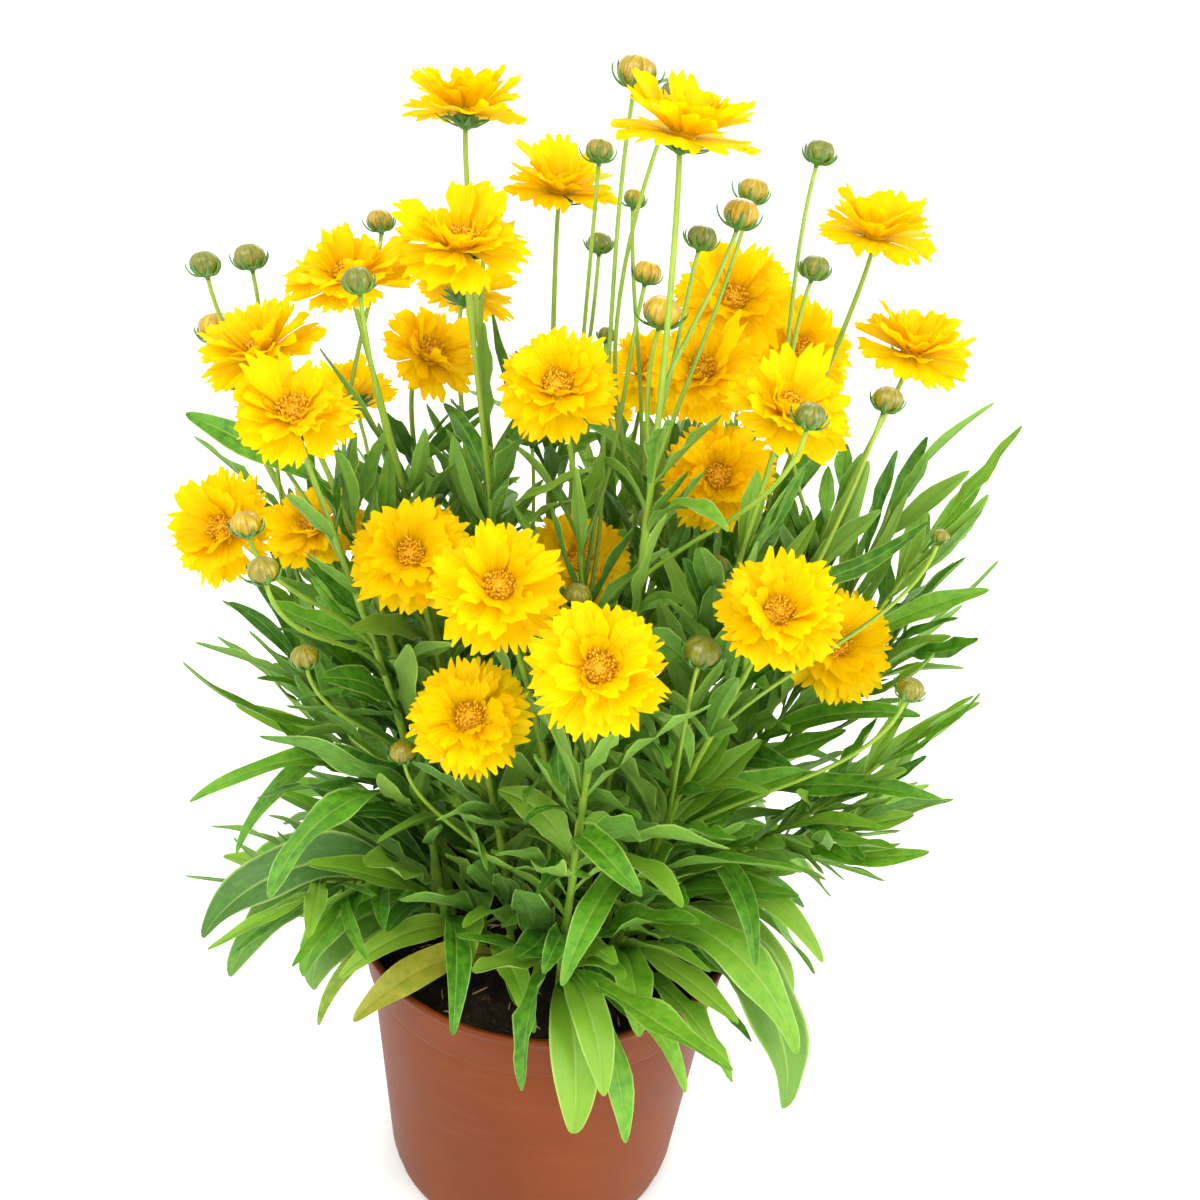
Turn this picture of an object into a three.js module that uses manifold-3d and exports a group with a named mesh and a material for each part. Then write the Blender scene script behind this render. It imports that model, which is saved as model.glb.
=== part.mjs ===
// A coreopsis in a nursery pot: a semi-double, golden-flowered border perennial.
// Millimetres, +Z up, origin at the middle of the pot's foot. The plant grows from a crown of
// leafy stems that stand in holes in the soil. Each stem carries leaves, flower buds and the green
// calyx of each of its blooms in one fused body, and each bloom is a body of its own on its calyx.
import * as THREE from "three";
import { mergeVertices } from "three/addons/utils/BufferGeometryUtils.js";
import Module from "manifold-3d";

const wasm = await Module();
wasm.setup();

// ---- Pot and soil -------------------------------------------------------------------------------

const POT = {
  height: 150,
  rimRadius: 94,
  footRadius: 77,
  wall: 1.8,
  floor: 3,
  footRound: 5, // height and depth of the rounded foot
  stepDrop: 25, // from the rim down to the step below the collar
  stepDepth: 1.8,
  beadHeight: 3.2,
  beadDepth: 1.5,
  sides: 26,
  drainHoles: 6,
  drainRadius: 5,
};
const SOIL = { level: 135, crown: 4, edgeGap: 0.4, sides: 20 };
const GAP = 0.35; // between bodies that touch
const HOLE_DEPTH = 14; // how deep each stem stands in the soil
const STEM_HOLE_RADIUS = 4.3;

// ---- Plant --------------------------------------------------------------------------------------

const STEM = {
  footRadius: 1.8,
  neckRadius: 1,
  budNeckRadius: 0.85,
  shootRadius: 0.75,
  sides: 4,
  steps: 6,
  branchSteps: 3,
  branchFoot: 7, // from its start to where a branch has its full section
};
const CROWN = { radius: 60, spread: 0.42, spacing: 17 }; // the feet of the stems, on the soil
const CALYX = { height: 5, cupRadius: 5.2, topRadius: 4.6, bractReach: 10.5, bracts: 4 };
const BUD = { bracts: 4 };
const LEAF = {
  keel: 1.5,
  stalk: 5, // from its root to where its stalk has its full section
  corners: { narrow: [0.6], middling: [0.42, 0.8], wide: [0.34, 0.64, 0.9] },
  middling: 14.5, // leaves this wide and wider have two corners on a side
  wide: 23, // and these have three
  fullness: 1.15, // how slowly the blade widens from its foot
  bluntness: 0.55, // how round its tip is: less is blunter
};
// Ends of petals, from their left to their right: how far out, how far aside, how far up.
const THREE_TEETH = [
  [0.92, 1, 0],
  [0.84, 0.42, -0.5],
  [1, 0, 0.4],
  [0.84, -0.42, -0.5],
  [0.92, -1, 0],
];
const ONE_TOOTH = [
  [0.86, 1, 0],
  [1, 0, 0.6],
  [0.86, -1, 0],
];
const BLOOM = {
  coreRadius: 5.2,
  discHeight: 7,
  blade: 1.1,
  keel: 1.5,
  reach: [0.96, 1.06], // of petals, of what their layer has
  outer: { petals: 8, lift: 7, reach: 1, width: 0.92, z: 0, teeth: THREE_TEETH },
  inner: { petals: 5, lift: 50, reach: 0.7, width: 0.78, z: 2.6, teeth: ONE_TOOTH },
};

// Open blooms: place of the head's base, the way it faces (azimuth from -Y towards +X, then
// elevation, in degrees) and its diameter. Each ends a stem of its own, or a side branch.
const BLOOMS = [
  { at: [-58, 25, 519], faces: [180, 84], across: 55 },
  { at: [26, -47, 519], faces: [40, 80], across: 56 },
  { at: [-20, 73, 489], faces: [10, 78], across: 57 },
  { at: [-52, -26, 473], faces: [-8, 60], across: 54 },
  { at: [118, 37, 484], faces: [10, 78], across: 55 },
  { at: [-96, -20, 456], faces: [-25, 70], across: 54 },
  { at: [-63, 85, 438], faces: [165, 55], across: 52 },
  { at: [-127, -31, 427], faces: [-60, 62], across: 54 },
  { at: [-108, -61, 412], faces: [4, 56], across: 48 },
  { at: [-72, 27, 420], faces: [50, 42], across: 48 },
  { at: [-12, -39, 425], faces: [0, 42], across: 52 },
  { at: [61, 41, 452], faces: [0, 38], across: 57 },
  { at: [137, 15, 440], faces: [20, 74], across: 56 },
  { at: [98, 67, 427], faces: [18, 38], across: 56 },
  { at: [48, 8, 426], faces: [-10, 44], across: 53 },
  { at: [76, -49, 425], faces: [20, 58], across: 53 },
  { at: [59, 0, 383], faces: [-8, 28], across: 53 },
  { at: [30, 82, 407], faces: [15, 48], across: 52 },
  { at: [-161, 18, 334], faces: [-22, 30], across: 56 },
  { at: [-115, -4, 346], faces: [-18, 56], across: 49 },
  { at: [-66, -47, 354], faces: [0, 46], across: 54 },
  { at: [-27, -96, 363], faces: [8, 52], across: 54 },
  { at: [1, 4, 337], faces: [15, 48], across: 51 },
  { at: [11, -131, 351], faces: [-4, 42], across: 51 },
  { at: [-36, -87, 304], faces: [-5, 46], across: 50 },
  { at: [79, -76, 353], faces: [0, 50], across: 53 },
  { at: [118, -15, 314], faces: [10, 38], across: 55 },
  { at: [-118, 92, 380], faces: [-140, 48], across: 50, side: true },
  { at: [2, 128, 377], faces: [176, 46], across: 52, side: true },
  { at: [106, 112, 373], faces: [140, 50], across: 50, side: true },
];

// Flower buds: place and diameter.
const BUDS = [
  [9, -15, 541, 16],
  [25, 12, 535, 12],
  [-3, 32, 511, 13],
  [87, 24, 518, 13],
  [62, 25, 501, 14],
  [13, 22, 494, 10],
  [53, -20, 495, 15],
  [41, 2, 483, 13],
  [0, 44, 473, 12],
  [20, -10, 469, 12],
  [26, -32, 458, 16],
  [88, 2, 475, 13],
  [-50, 8, 490, 13],
  [-62, 47, 476, 10],
  [-92, 20, 477, 12],
  [-84, -65, 465, 12],
  [-156, -9, 458, 13],
  [-145, 15, 459, 14],
  [-158, 8, 430, 17],
  [-158, 30, 402, 10],
  [6, 14, 439, 8],
  [116, -40, 433, 13],
  [78, -86, 435, 12],
  [-24, 20, 391, 12],
  [31, -20, 370, 13],
  [59, -30, 355, 12],
  [52, -76, 337, 16],
  [136, -76, 327, 12],
  [-121, -85, 378, 12],
  [-108, -110, 371, 12],
  [-104, -72, 319, 12],
  [2, -52, 346, 12],
  [-10, -26, 325, 11],
  [-152, -72, 293, 7],
  [-66, -64, 274, 12],
  [150, -32, 376, 8],
];

// Leaves with a place of their own: the stem, how far up it the leaf starts, where its tip is, by
// how many degrees it starts steeper than the straight line to its tip, and its width. Most are large
// and hang over the rim at the front.
const PLACED_LEAVES = [
  { stem: 7, at: 0.03, tip: [-119, -32, 105], arch: 75, wide: 28 },
  { stem: 18, at: 0.03, tip: [-148, -51, 135], arch: 65, wide: 26 },
  { stem: 7, at: 0.06, tip: [-157, -58, 163], arch: 65, wide: 28 },
  { stem: 19, at: 0.08, tip: [-131, -39, 132], arch: 55, wide: 19 },
  { stem: 24, at: 0.03, tip: [-81, -92, 152], arch: 40, wide: 18 },
  { stem: 20, at: 0.03, tip: [-90, -78, 163], arch: 45, wide: 14 },
  { stem: 8, at: 0.05, tip: [-100, -77, 134], arch: 65, wide: 9 },
  { stem: 23, at: 0.04, tip: [18, -122, 128], arch: 80, wide: 23 },
  { stem: 23, at: 0.07, tip: [29, -122, 150], arch: 65, wide: 18 },
  { stem: 25, at: 0.06, tip: [43, -100, 162], arch: 50, wide: 19 },
  { stem: 20, at: 0.05, tip: [-2, -108, 168], arch: 30, wide: 13 },
  { stem: 26, at: 0.03, tip: [115, -85, 111], arch: 80, wide: 30 },
  { stem: 26, at: 0.06, tip: [123, -34, 127], arch: 60, wide: 23 },
  { stem: 15, at: 0.04, tip: [115, -89, 148], arch: 65, wide: 22 },
  { stem: 12, at: 0.04, tip: [127, -61, 176], arch: 60, wide: 15 },
  { stem: 15, at: 0.14, tip: [8, -108, 194], arch: 50, wide: 15 },
  { stem: 7, at: 0.72, tip: [-164, 12, 390], arch: 6, wide: 14 },
  { stem: 2, at: 0.53, tip: [-43, 17, 442], arch: -15, wide: 10 },
  { stem: 9, at: 0.62, tip: [-104, -37, 433], arch: 4, wide: 7 },
  { stem: 1, at: 0.49, tip: [58, -76, 386], arch: 55, wide: 11 },
  { stem: 26, at: 0.36, tip: [164, -64, 268], arch: 20, wide: 14 },
  { stem: 26, at: 0.5, tip: [158, -30, 290], arch: 27, wide: 15 },
  { stem: 15, at: 0.62, tip: [123, -87, 406], arch: -15, wide: 13 },
  { stem: 19, at: 0.29, tip: [-158, -59, 237], arch: 40, wide: 12 },
  { stem: 18, at: 0.4, tip: [-157, -59, 305], arch: -20, wide: 10 },
  { stem: 18, at: 0.31, tip: [-143, -47, 203], arch: 60, wide: 10 },
];

// Ends of the side shoots that bear no flower.
const SHOOTS = [
  [144, 27, 368],
  [153, 0, 356],
  [157, 8, 310],
  [152, -24, 292],
  [143, -36, 268],
  [131, -47, 240],
  [-132, 38, 330],
  [-128, 18, 262],
  [-118, -26, 228],
  [-112, -40, 186],
  [-100, 112, 300],
  [16, 158, 318],
  [104, 118, 286],
];

// ---- Vectors ------------------------------------------------------------------------------------

const RADIAN = Math.PI / 180;
const UP = [0, 0, 1];
const add = (a, b, k = 1) => [a[0] + k * b[0], a[1] + k * b[1], a[2] + k * b[2]];
const sub = (a, b) => add(a, b, -1);
const scale = (a, k) => [a[0] * k, a[1] * k, a[2] * k];
const cross = (a, b) => [a[1] * b[2] - a[2] * b[1], a[2] * b[0] - a[0] * b[2], a[0] * b[1] - a[1] * b[0]];
const size = (a) => Math.sqrt(a[0] * a[0] + a[1] * a[1] + a[2] * a[2]);
const unit = (a) => scale(a, 1 / size(a));
const mix = (a, b, t) => a + (b - a) * t;

// The way that an azimuth (from -Y towards +X) and an elevation point.
function heading(azimuth, elevation) {
  const c = Math.cos(elevation * RADIAN);
  return [Math.sin(azimuth * RADIAN) * c, -Math.cos(azimuth * RADIAN) * c, Math.sin(elevation * RADIAN)];
}

// Two unit vectors square to a direction.
function square(direction) {
  const away = Math.abs(direction[2]) < 0.9 ? UP : [0, 1, 0];
  const u = unit(cross(away, direction));
  return [u, cross(direction, u)];
}

// A number from 0 to 1 that depends only on three whole numbers.
function draw(a, b, c) {
  let h = Math.imul(a + 1, 0x9e3779b1) ^ Math.imul(b + 1, 0x85ebca6b) ^ Math.imul(c + 1, 0xc2b2ae35);
  h = Math.imul(h ^ (h >>> 15), 0x2c1b3c6d);
  h = Math.imul(h ^ (h >>> 12), 0x297a2d39);
  return ((h ^ (h >>> 15)) >>> 0) / 4294967296;
}
const between = (low, high, a, b, c) => mix(low, high, draw(a, b, c));

// A point of a cubic Bezier curve, and its direction there.
function bezier(p, t) {
  const s = 1 - t;
  const weights = [s * s * s, 3 * s * s * t, 3 * s * t * t, t * t * t];
  return weights.reduce((sum, w, i) => add(sum, p[i], w), [0, 0, 0]);
}
function bezierWay(p, t) {
  const s = 1 - t;
  const a = scale(sub(p[1], p[0]), s * s);
  const b = scale(sub(p[2], p[1]), 2 * s * t);
  return unit(add(add(a, b), sub(p[3], p[2]), t * t));
}

// ---- Room: what is taken is kept as balls, each with the body that owns it ----------------------

const BALL_STEP = 5;
const STEM_BALL = 2.5;
const BRANCH_BALL = 2.3;
const LEAF_BALL = 2.6;
const HEAD_REACH = 22; // from a stem's end, where it may touch its own bloom
const FORK_REACH = 24; // from a branch's start, where it may touch its own stem
const LEAF_ROOT = 0.12; // up to this part of its length a leaf is at its stem, and takes no room
const LEAF_FREE = 0.3; // from here on it may not touch its own stem either
const CELL = 24; // wider than any two balls together
const taken = new Map();
const bloomOwner = (b) => 1000 + b;
const BUD_AS_BLOOM = 100;
const budOwner = (k) => bloomOwner(BUD_AS_BLOOM + k);
const cellOf = (x, y, z) => {
  const [i, j, k] = [x, y, z].map((place) => Math.floor(place / CELL));
  return (i + 64) * 16384 + (j + 64) * 128 + k;
};

function take(balls, owner) {
  balls.forEach((ball) => {
    const cell = cellOf(...ball);
    if (!taken.has(cell)) taken.set(cell, []);
    taken.get(cell).push([...ball, owner]);
  });
}

// Whether a ball stays clear of every body but those skipped.
function isBallClear([x, y, z, r], skip) {
  for (const dx of [0, -CELL, CELL]) {
    for (const dy of [0, -CELL, CELL]) {
      for (const dz of [0, -CELL, CELL]) {
        const near = taken.get(cellOf(x + dx, y + dy, z + dz)) || [];
        for (const [u, v, w, q, owner] of near) {
          const apart = (x - u) * (x - u) + (y - v) * (y - v) + (z - w) * (z - w);
          if (apart < (r + q) * (r + q) && !skip.includes(owner)) return false;
        }
      }
    }
  }
  return true;
}
const isClear = (balls, skip) => balls.every((ball) => isBallClear(ball, skip));

const potRadius = (z) => mix(POT.footRadius, POT.rimRadius, Math.min(1, Math.max(0, z / POT.height)));

// Whether a ball stays clear of the pot and the soil.
function isOffPot([x, y, z, r]) {
  const out = Math.sqrt(x * x + y * y);
  const outside = out > potRadius(z) + POT.beadDepth + r;
  const inside = out < POT.rimRadius - POT.wall - 2 - r && z > SOIL.level + SOIL.crown + r;
  return z > POT.height + r || outside || inside;
}

// Places along a curve, closer together towards its end, where it bends most.
const stations = (steps) => Array.from({ length: steps + 1 }, (_, k) => 1 - Math.pow(1 - k / steps, 1.25));

// A place on a stem or a branch as it is built, straight between its corners.
function onStem(curve, steps, t) {
  const places = stations(steps);
  const k = places.findIndex((place, i) => i > 0 && place >= t);
  const [from, to] = [bezier(curve, places[k - 1]), bezier(curve, places[k])];
  return add(from, sub(to, from), (t - places[k - 1]) / (places[k] - places[k - 1]));
}

function pathBalls(curve, steps, radius) {
  const corners = stations(steps).map((t) => bezier(curve, t));
  return corners.slice(1).flatMap((to, k) => {
    const from = corners[k];
    const count = Math.ceil(size(sub(to, from)) / BALL_STEP);
    return Array.from({ length: count }, (_, i) => [...add(from, sub(to, from), (i + 1) / count), radius]);
  });
}

// Whether a stem or a branch stays clear of the rest. At its fork it may touch the stem that it
// leaves, and at its end its own bloom.
function isRouteClear(curve, steps, radius, owner, b) {
  const balls = pathBalls(curve, steps, radius);
  const isNear = (ball, end, reach) => size(sub(ball, end)) < reach;
  return balls.every((ball) => {
    const skip = [];
    if (isNear(ball, curve[0], FORK_REACH)) skip.push(owner);
    if (isNear(ball, curve[3], HEAD_REACH)) skip.push(bloomOwner(b));
    return isBallClear(ball, skip);
  });
}

const bloomFacing = (b) => heading(...BLOOMS[b - 1].faces);

function bloomBalls(b) {
  const { at, across } = BLOOMS[b - 1];
  const axis = bloomFacing(b);
  const [u, v] = square(axis);
  const radius = across / 2;
  const rings = [
    [0, 4, 1, 7],
    [0.4 * radius, 2.5, 6, 5.5],
    [0.68 * radius, 4.2, 10, 5.5],
    [0.95 * radius, 5.6, 14, 5.5],
    [0.42 * radius, 10, 6, 5.5],
  ];
  return rings.flatMap(([ring, height, count, ball]) =>
    Array.from({ length: count }, (_, i) => {
      const angle = (2 * Math.PI * i) / count;
      const side = add(scale(u, ring * Math.cos(angle)), v, ring * Math.sin(angle));
      return [...add(add(at, axis, height), side), ball];
    }),
  );
}

// Blooms that end a stem of their own, by number.
const STEMS = BLOOMS.map((_, k) => k + 1).filter((b) => !BLOOMS[b - 1].side);

// ---- Where the stems, branches and leaves go ----------------------------------------------------

// Feet of the stems: drawn in towards the crown from the heads, then pushed apart.
function crownFeet() {
  const feet = STEMS.map((b) => {
    const [x, y] = BLOOMS[b - 1].at;
    const out = Math.hypot(x, y) * CROWN.spread;
    const k = (CROWN.spread * CROWN.radius) / Math.max(CROWN.radius, out);
    return [x * k, y * k];
  });
  for (let round = 0; round < 60; round++) {
    feet.forEach((a, i) => {
      feet.forEach((b, j) => {
        const apart = Math.hypot(a[0] - b[0], a[1] - b[1]) || 1;
        if (j <= i || apart >= CROWN.spacing) return;
        const push = (0.5 * (CROWN.spacing - apart)) / apart;
        const dx = (a[0] - b[0]) * push;
        const dy = (a[1] - b[1]) * push;
        feet[i] = [a[0] + dx, a[1] + dy];
        feet[j] = [b[0] - dx, b[1] - dy];
        a = feet[i];
      });
    });
    feet.forEach(([x, y], i) => {
      const k = Math.min(1, CROWN.radius / Math.hypot(x, y));
      feet[i] = [x * k, y * k];
    });
  }
  return feet;
}

const STEM_TRIES = 120;
const BRANCH_TRIES = 10;
const LEAF_TRIES = 36;
const OUTER = 36; // stems that stand this far out carry basal leaves and shoots
const SHOOT_LEAVES = [
  [0.46, -42],
  [0.68, 38],
  [0.99, 0],
]; // how far along its shoot each leaf starts, and how far aside it points
const SPREAD = { middle: [2, 18], radius: 188 }; // of the leaf tips, round a place behind the crown
const FRONT = [-80, 84]; // azimuths where the low leaves are given one by one, and the others stand
const TURN_TO_FRONT = -0.45; // how far those roll for each degree of azimuth, to face the front

// The first of the tries that fits, else the last one, marked as not fitting.
function firstThatFits(tries, make, fits) {
  let made;
  for (let attempt = 0; attempt < tries; attempt++) {
    made = make(attempt);
    if (fits(made)) return { ...made, fits: true };
  }
  return { ...made, fits: false };
}

function growStem(i, foot, b) {
  const head = add(BLOOMS[b - 1].at, bloomFacing(b), -CALYX.height);
  const tall = head[2] - SOIL.level;
  return firstThatFits(
    STEM_TRIES,
    (attempt) => {
      const sway = 0.45 * attempt;
      const lean = [between(-sway, sway, i, attempt, 1), between(-sway, sway, i, attempt, 2), 0];
      const rise = [mix(foot[0], head[0], 0.12), mix(foot[1], head[1], 0.12), SOIL.level + 0.42 * tall];
      const last = add(add(head, bloomFacing(b), -38), lean, 0.4);
      return { curve: [[...foot, SOIL.level], add(rise, lean), last, head] };
    },
    ({ curve }) => isRouteClear(curve, STEM.steps, STEM_BALL, i, b),
  );
}

// A side branch to an end that faces some way, from the nearest stem that lets it through.
function growBranch(stems, draws, end, facing, b) {
  const away = stems.map(({ main }) => {
    const middle = bezier(main.curve, 0.6);
    return Math.hypot(middle[0] - end[0], middle[1] - end[1]);
  });
  const order = stems.map((_, i) => i).sort((p, q) => away[p] - away[q]);
  for (const i of order) {
    const main = stems[i].main.curve;
    const branch = firstThatFits(
      BRANCH_TRIES,
      (attempt) => {
        const fork = onStem(main, STEM.steps, between(0.3, 0.66, i, draws, attempt + 300));
        const sway = 2 + 2 * attempt;
        const x = between(-sway, sway, i, draws, attempt + 400);
        const y = between(-sway, sway, i, draws, attempt + 500);
        const far = size(sub(end, fork));
        const aside = Math.hypot(end[0] - fork[0], end[1] - fork[1]) + 1;
        const lean = (0.2 * far) / aside;
        const first = add(fork, [lean * (end[0] - fork[0]) + x, lean * (end[1] - fork[1]) + y, 0.3 * far]);
        const last = add(add(end, facing, -0.3 * far), [x, y, 0], 0.5);
        return { curve: [fork, first, last, end], stem: i, b };
      },
      ({ curve }) => {
        const rise = end[2] - curve[0][2];
        const aside = Math.hypot(end[0] - curve[0][0], end[1] - curve[0][1]);
        return rise > 45 && aside < 1.1 * rise && isRouteClear(curve, STEM.branchSteps, BRANCH_BALL, i, b);
      },
    );
    if (branch.fits) return branch;
  }
  return null;
}

// A leaf is given by where it starts, its azimuth there and its sweep, its elevation there (rise)
// and at its tip (fall), its roll, its length and its width.
function leafMidrib(leaf, t) {
  const steps = 12;
  let at = leaf.from;
  for (let k = 0; k < steps; k++) {
    const m = (t * (k + 0.5)) / steps;
    at = add(at, leafWay(leaf, m), (leaf.long * t) / steps);
  }
  return at;
}
function leafWay(leaf, t) {
  return heading(leaf.azimuth + leaf.sweep * t, mix(leaf.rise, leaf.fall, t));
}
// Half the width along a leaf, from its narrow foot to its blunt tip.
function leafHalf(leaf, t) {
  const { fullness, bluntness } = LEAF;
  const widest = fullness / (fullness + bluntness);
  const swell = Math.pow(t / widest, fullness) * Math.pow((1 - t) / (1 - widest), bluntness);
  return 0.5 * leaf.wide * Math.max(leaf.foot * (1 - t), swell);
}
// The way across the blade, level but for the leaf's roll about its midrib.
function leafSide(leaf, t) {
  const a = (leaf.azimuth + leaf.sweep * t) * RADIAN;
  const level = [Math.cos(a), Math.sin(a), 0];
  const below = cross(level, leafWay(leaf, t));
  return add(scale(level, Math.cos(leaf.roll * RADIAN)), below, Math.sin(leaf.roll * RADIAN));
}

function leafBalls(leaf, from, to) {
  const rows = Math.ceil(leaf.long / BALL_STEP);
  const balls = [];
  for (let k = 1; k <= rows; k++) {
    const t = k / rows;
    if (t < from || t > to) continue;
    const free = Math.max(0, leafHalf(leaf, Math.min(t, 0.97)) - 1.6);
    const mid = leafMidrib(leaf, t);
    const side = leafSide(leaf, t);
    const across = Math.ceil((2 * free) / BALL_STEP);
    for (let j = 0; j <= across; j++) {
      const place = across ? free * ((2 * j) / across - 1) : 0;
      balls.push([...add(mid, side, place), LEAF_BALL]);
    }
  }
  return balls;
}

// Tries a leaf with other azimuths and elevations until it is clear, or gives it up. At first it
// may be off its plan by "loose", sweep aside by "curl", and be off its roll, "faces", by "tilt".
function growLeaf(i, draws, { loose = 6, curl = 24, faces = 0, ...plan }) {
  const leaf = firstThatFits(
    LEAF_TRIES,
    (attempt) => {
      const turn = loose + attempt * 2;
      return {
        ...plan,
        azimuth: plan.azimuth + between(-turn, turn, i, draws, attempt + 600),
        rise: plan.rise + between(-turn, turn, i, draws, attempt + 700) * 0.5,
        fall: plan.fall + between(-turn, turn, i, draws, attempt + 800) * 0.6,
        roll: faces + between(-plan.tilt, plan.tilt, i, draws, attempt + 1000),
        sweep: between(-curl, curl, i, draws, attempt + 900),
        long: plan.long * (1 - 0.008 * attempt),
      };
    },
    (tried) => {
      const tip = leafMidrib(tried, 1);
      if (Math.hypot(tip[0] - SPREAD.middle[0], tip[1] - SPREAD.middle[1]) > SPREAD.radius) return false;
      const low = leafBalls(tried, LEAF_ROOT, LEAF_FREE);
      const high = leafBalls(tried, LEAF_FREE, 1);
      return [...low, ...high].every(isOffPot) && isClear(low, [i]) && isClear(high, []);
    },
  );
  if (leaf.fits) take(leafBalls(leaf, LEAF_ROOT, 1), i);
  return leaf.fits ? leaf : null;
}

const azimuthOf = ([x, y]) => Math.atan2(x, -y) / RADIAN;

// Opposite pairs of leaves, each pair turned from the one below, and smaller and more upright.
function stemLeaves(i, curve) {
  const outward = azimuthOf(curve[3]);
  const lowest = isOuter(curve) ? 0.22 : 0.15;
  return [lowest, 0.36, 0.53].flatMap((place, pair) => {
    const t = place + between(-0.04, 0.04, i, pair, 11);
    const turn = outward + 62 * pair + between(-30, 30, i, pair, 12);
    return [0, 180].map((half) =>
      growLeaf(i, 20 + pair + half, {
        from: onStem(curve, STEM.steps, t),
        azimuth: turn + half,
        rise: between(40, 64, i, pair + half, 13) + 26 * t,
        fall: between(-36, 30, i, pair + half, 14) + 80 * t,
        tilt: 48,
        long: mix(104, 62, t * 1.6) * between(0.8, 1.12, i, pair + half, 15),
        wide: mix(20, 11, t * 1.6) * between(0.85, 1.15, i, pair + half, 16),
        foot: 0.2,
        root: 1.3,
      }),
    );
  });
}

const isOuter = (curve) => Math.hypot(curve[0][0], curve[0][1]) > OUTER;

// The azimuth, rise, fall and length of a leaf that arches from one place to another.
function archTo(from, tip, arch) {
  const chord = sub(tip, from);
  const slope = Math.asin(chord[2] / size(chord)) / RADIAN;
  const bend = arch * RADIAN;
  return {
    azimuth: azimuthOf(chord),
    rise: slope + arch,
    fall: slope - arch,
    long: (size(chord) * bend) / Math.sin(bend),
  };
}

// The leaves that have a place of their own, each from the stem that it names.
function placedLeaves(stems) {
  PLACED_LEAVES.forEach(({ stem, at, tip, arch, wide }, k) => {
    const from = onStem(stems[stem].main.curve, STEM.steps, at);
    const shape = archTo(from, tip, arch);
    const faces = TURN_TO_FRONT * shape.azimuth;
    const leaf = growLeaf(stem, 150 + k, {
      from, ...shape, wide, faces, loose: 0, curl: 0, tilt: 8, foot: 0.16, root: 1.5,
    });
    stems[stem].leaves.push(leaf);
  });
}

// Large leaves low on each outer stem. Those at the front, and the last ones, stand up, and the
// others arch over the rim.
function basalLeaves(i, curve) {
  if (!isOuter(curve)) return [];
  const outward = azimuthOf(curve[0]);
  return [-20, 22, 2].map((turn, k) => {
    const azimuth = outward + turn + between(-8, 8, i, k, 22);
    const stands = k === 2 || (azimuth > FRONT[0] && azimuth < FRONT[1]);
    return growLeaf(i, 40 + k, {
      from: onStem(curve, STEM.steps, 0.06 + 0.03 * k),
      azimuth,
      rise: stands ? between(36, 66, i, k, 23) : between(32, 52, i, k, 23),
      fall: stands ? between(-12, 40, i, k, 24) : between(-84, -46, i, k, 24),
      tilt: 22,
      long: stands ? between(76, 104, i, k, 25) : between(98, 132, i, k, 25),
      wide: stands ? between(14, 24, i, k, 21) : between(19, 28, i, k, 21),
      foot: 0.16,
      root: 1.5,
    });
  });
}

// A side shoot without a flower, from the nearest outer stem that lets it through: a thin stem with
// narrow leaves along it and one that goes on from its end.
function growShoot(stems, k, end) {
  const way = azimuthOf(end);
  const away = stems.map(({ main }) => Math.abs(azimuthOf(main.curve[0]) - way));
  const order = stems.map((_, i) => i).filter((i) => isOuter(stems[i].main.curve));
  order.sort((p, q) => away[p] - away[q]);
  for (const i of order) {
    const main = stems[i].main.curve;
    const shoot = firstThatFits(
      BRANCH_TRIES,
      (attempt) => {
        const from = onStem(main, STEM.steps, between(0.08, 0.26, i, k, attempt + 1100));
        const far = size(sub(end, from));
        const rise = Math.asin((end[2] - from[2]) / far) / RADIAN;
        const sway = 6 + 2 * attempt;
        const aside = way + between(-sway, sway, i, k, attempt + 1200);
        const first = add(from, heading(aside, rise - 6), 0.38 * far);
        const last = add(end, heading(way, Math.min(rise + 8, 84)), -0.3 * far);
        return { curve: [from, first, last, end], rise };
      },
      ({ curve }) => isRouteClear(curve, STEM.branchSteps, BRANCH_BALL, i, 0),
    );
    if (!shoot.fits) continue;
    take(pathBalls(shoot.curve, STEM.branchSteps, BRANCH_BALL), i);
    const leaves = SHOOT_LEAVES.map(([t, turn], n) =>
      growLeaf(i, 300 + 10 * k + n, {
        from: onStem(shoot.curve, STEM.branchSteps, t),
        azimuth: way + turn + between(-8, 8, k, n, 35),
        rise: Math.min(80, shoot.rise + between(-10, 14, k, n, 36)),
        fall: shoot.rise - between(-6, 34, k, n, 37),
        curl: 12,
        tilt: 60,
        long: between(50, 78, k, n, 38),
        wide: between(6, 10, k, n, 39),
        foot: 0.26,
        root: 0.9,
      }),
    );
    stems[i].shoots.push({ ...shoot, leaves: leaves.filter(Boolean) });
    return;
  }
}

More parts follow.
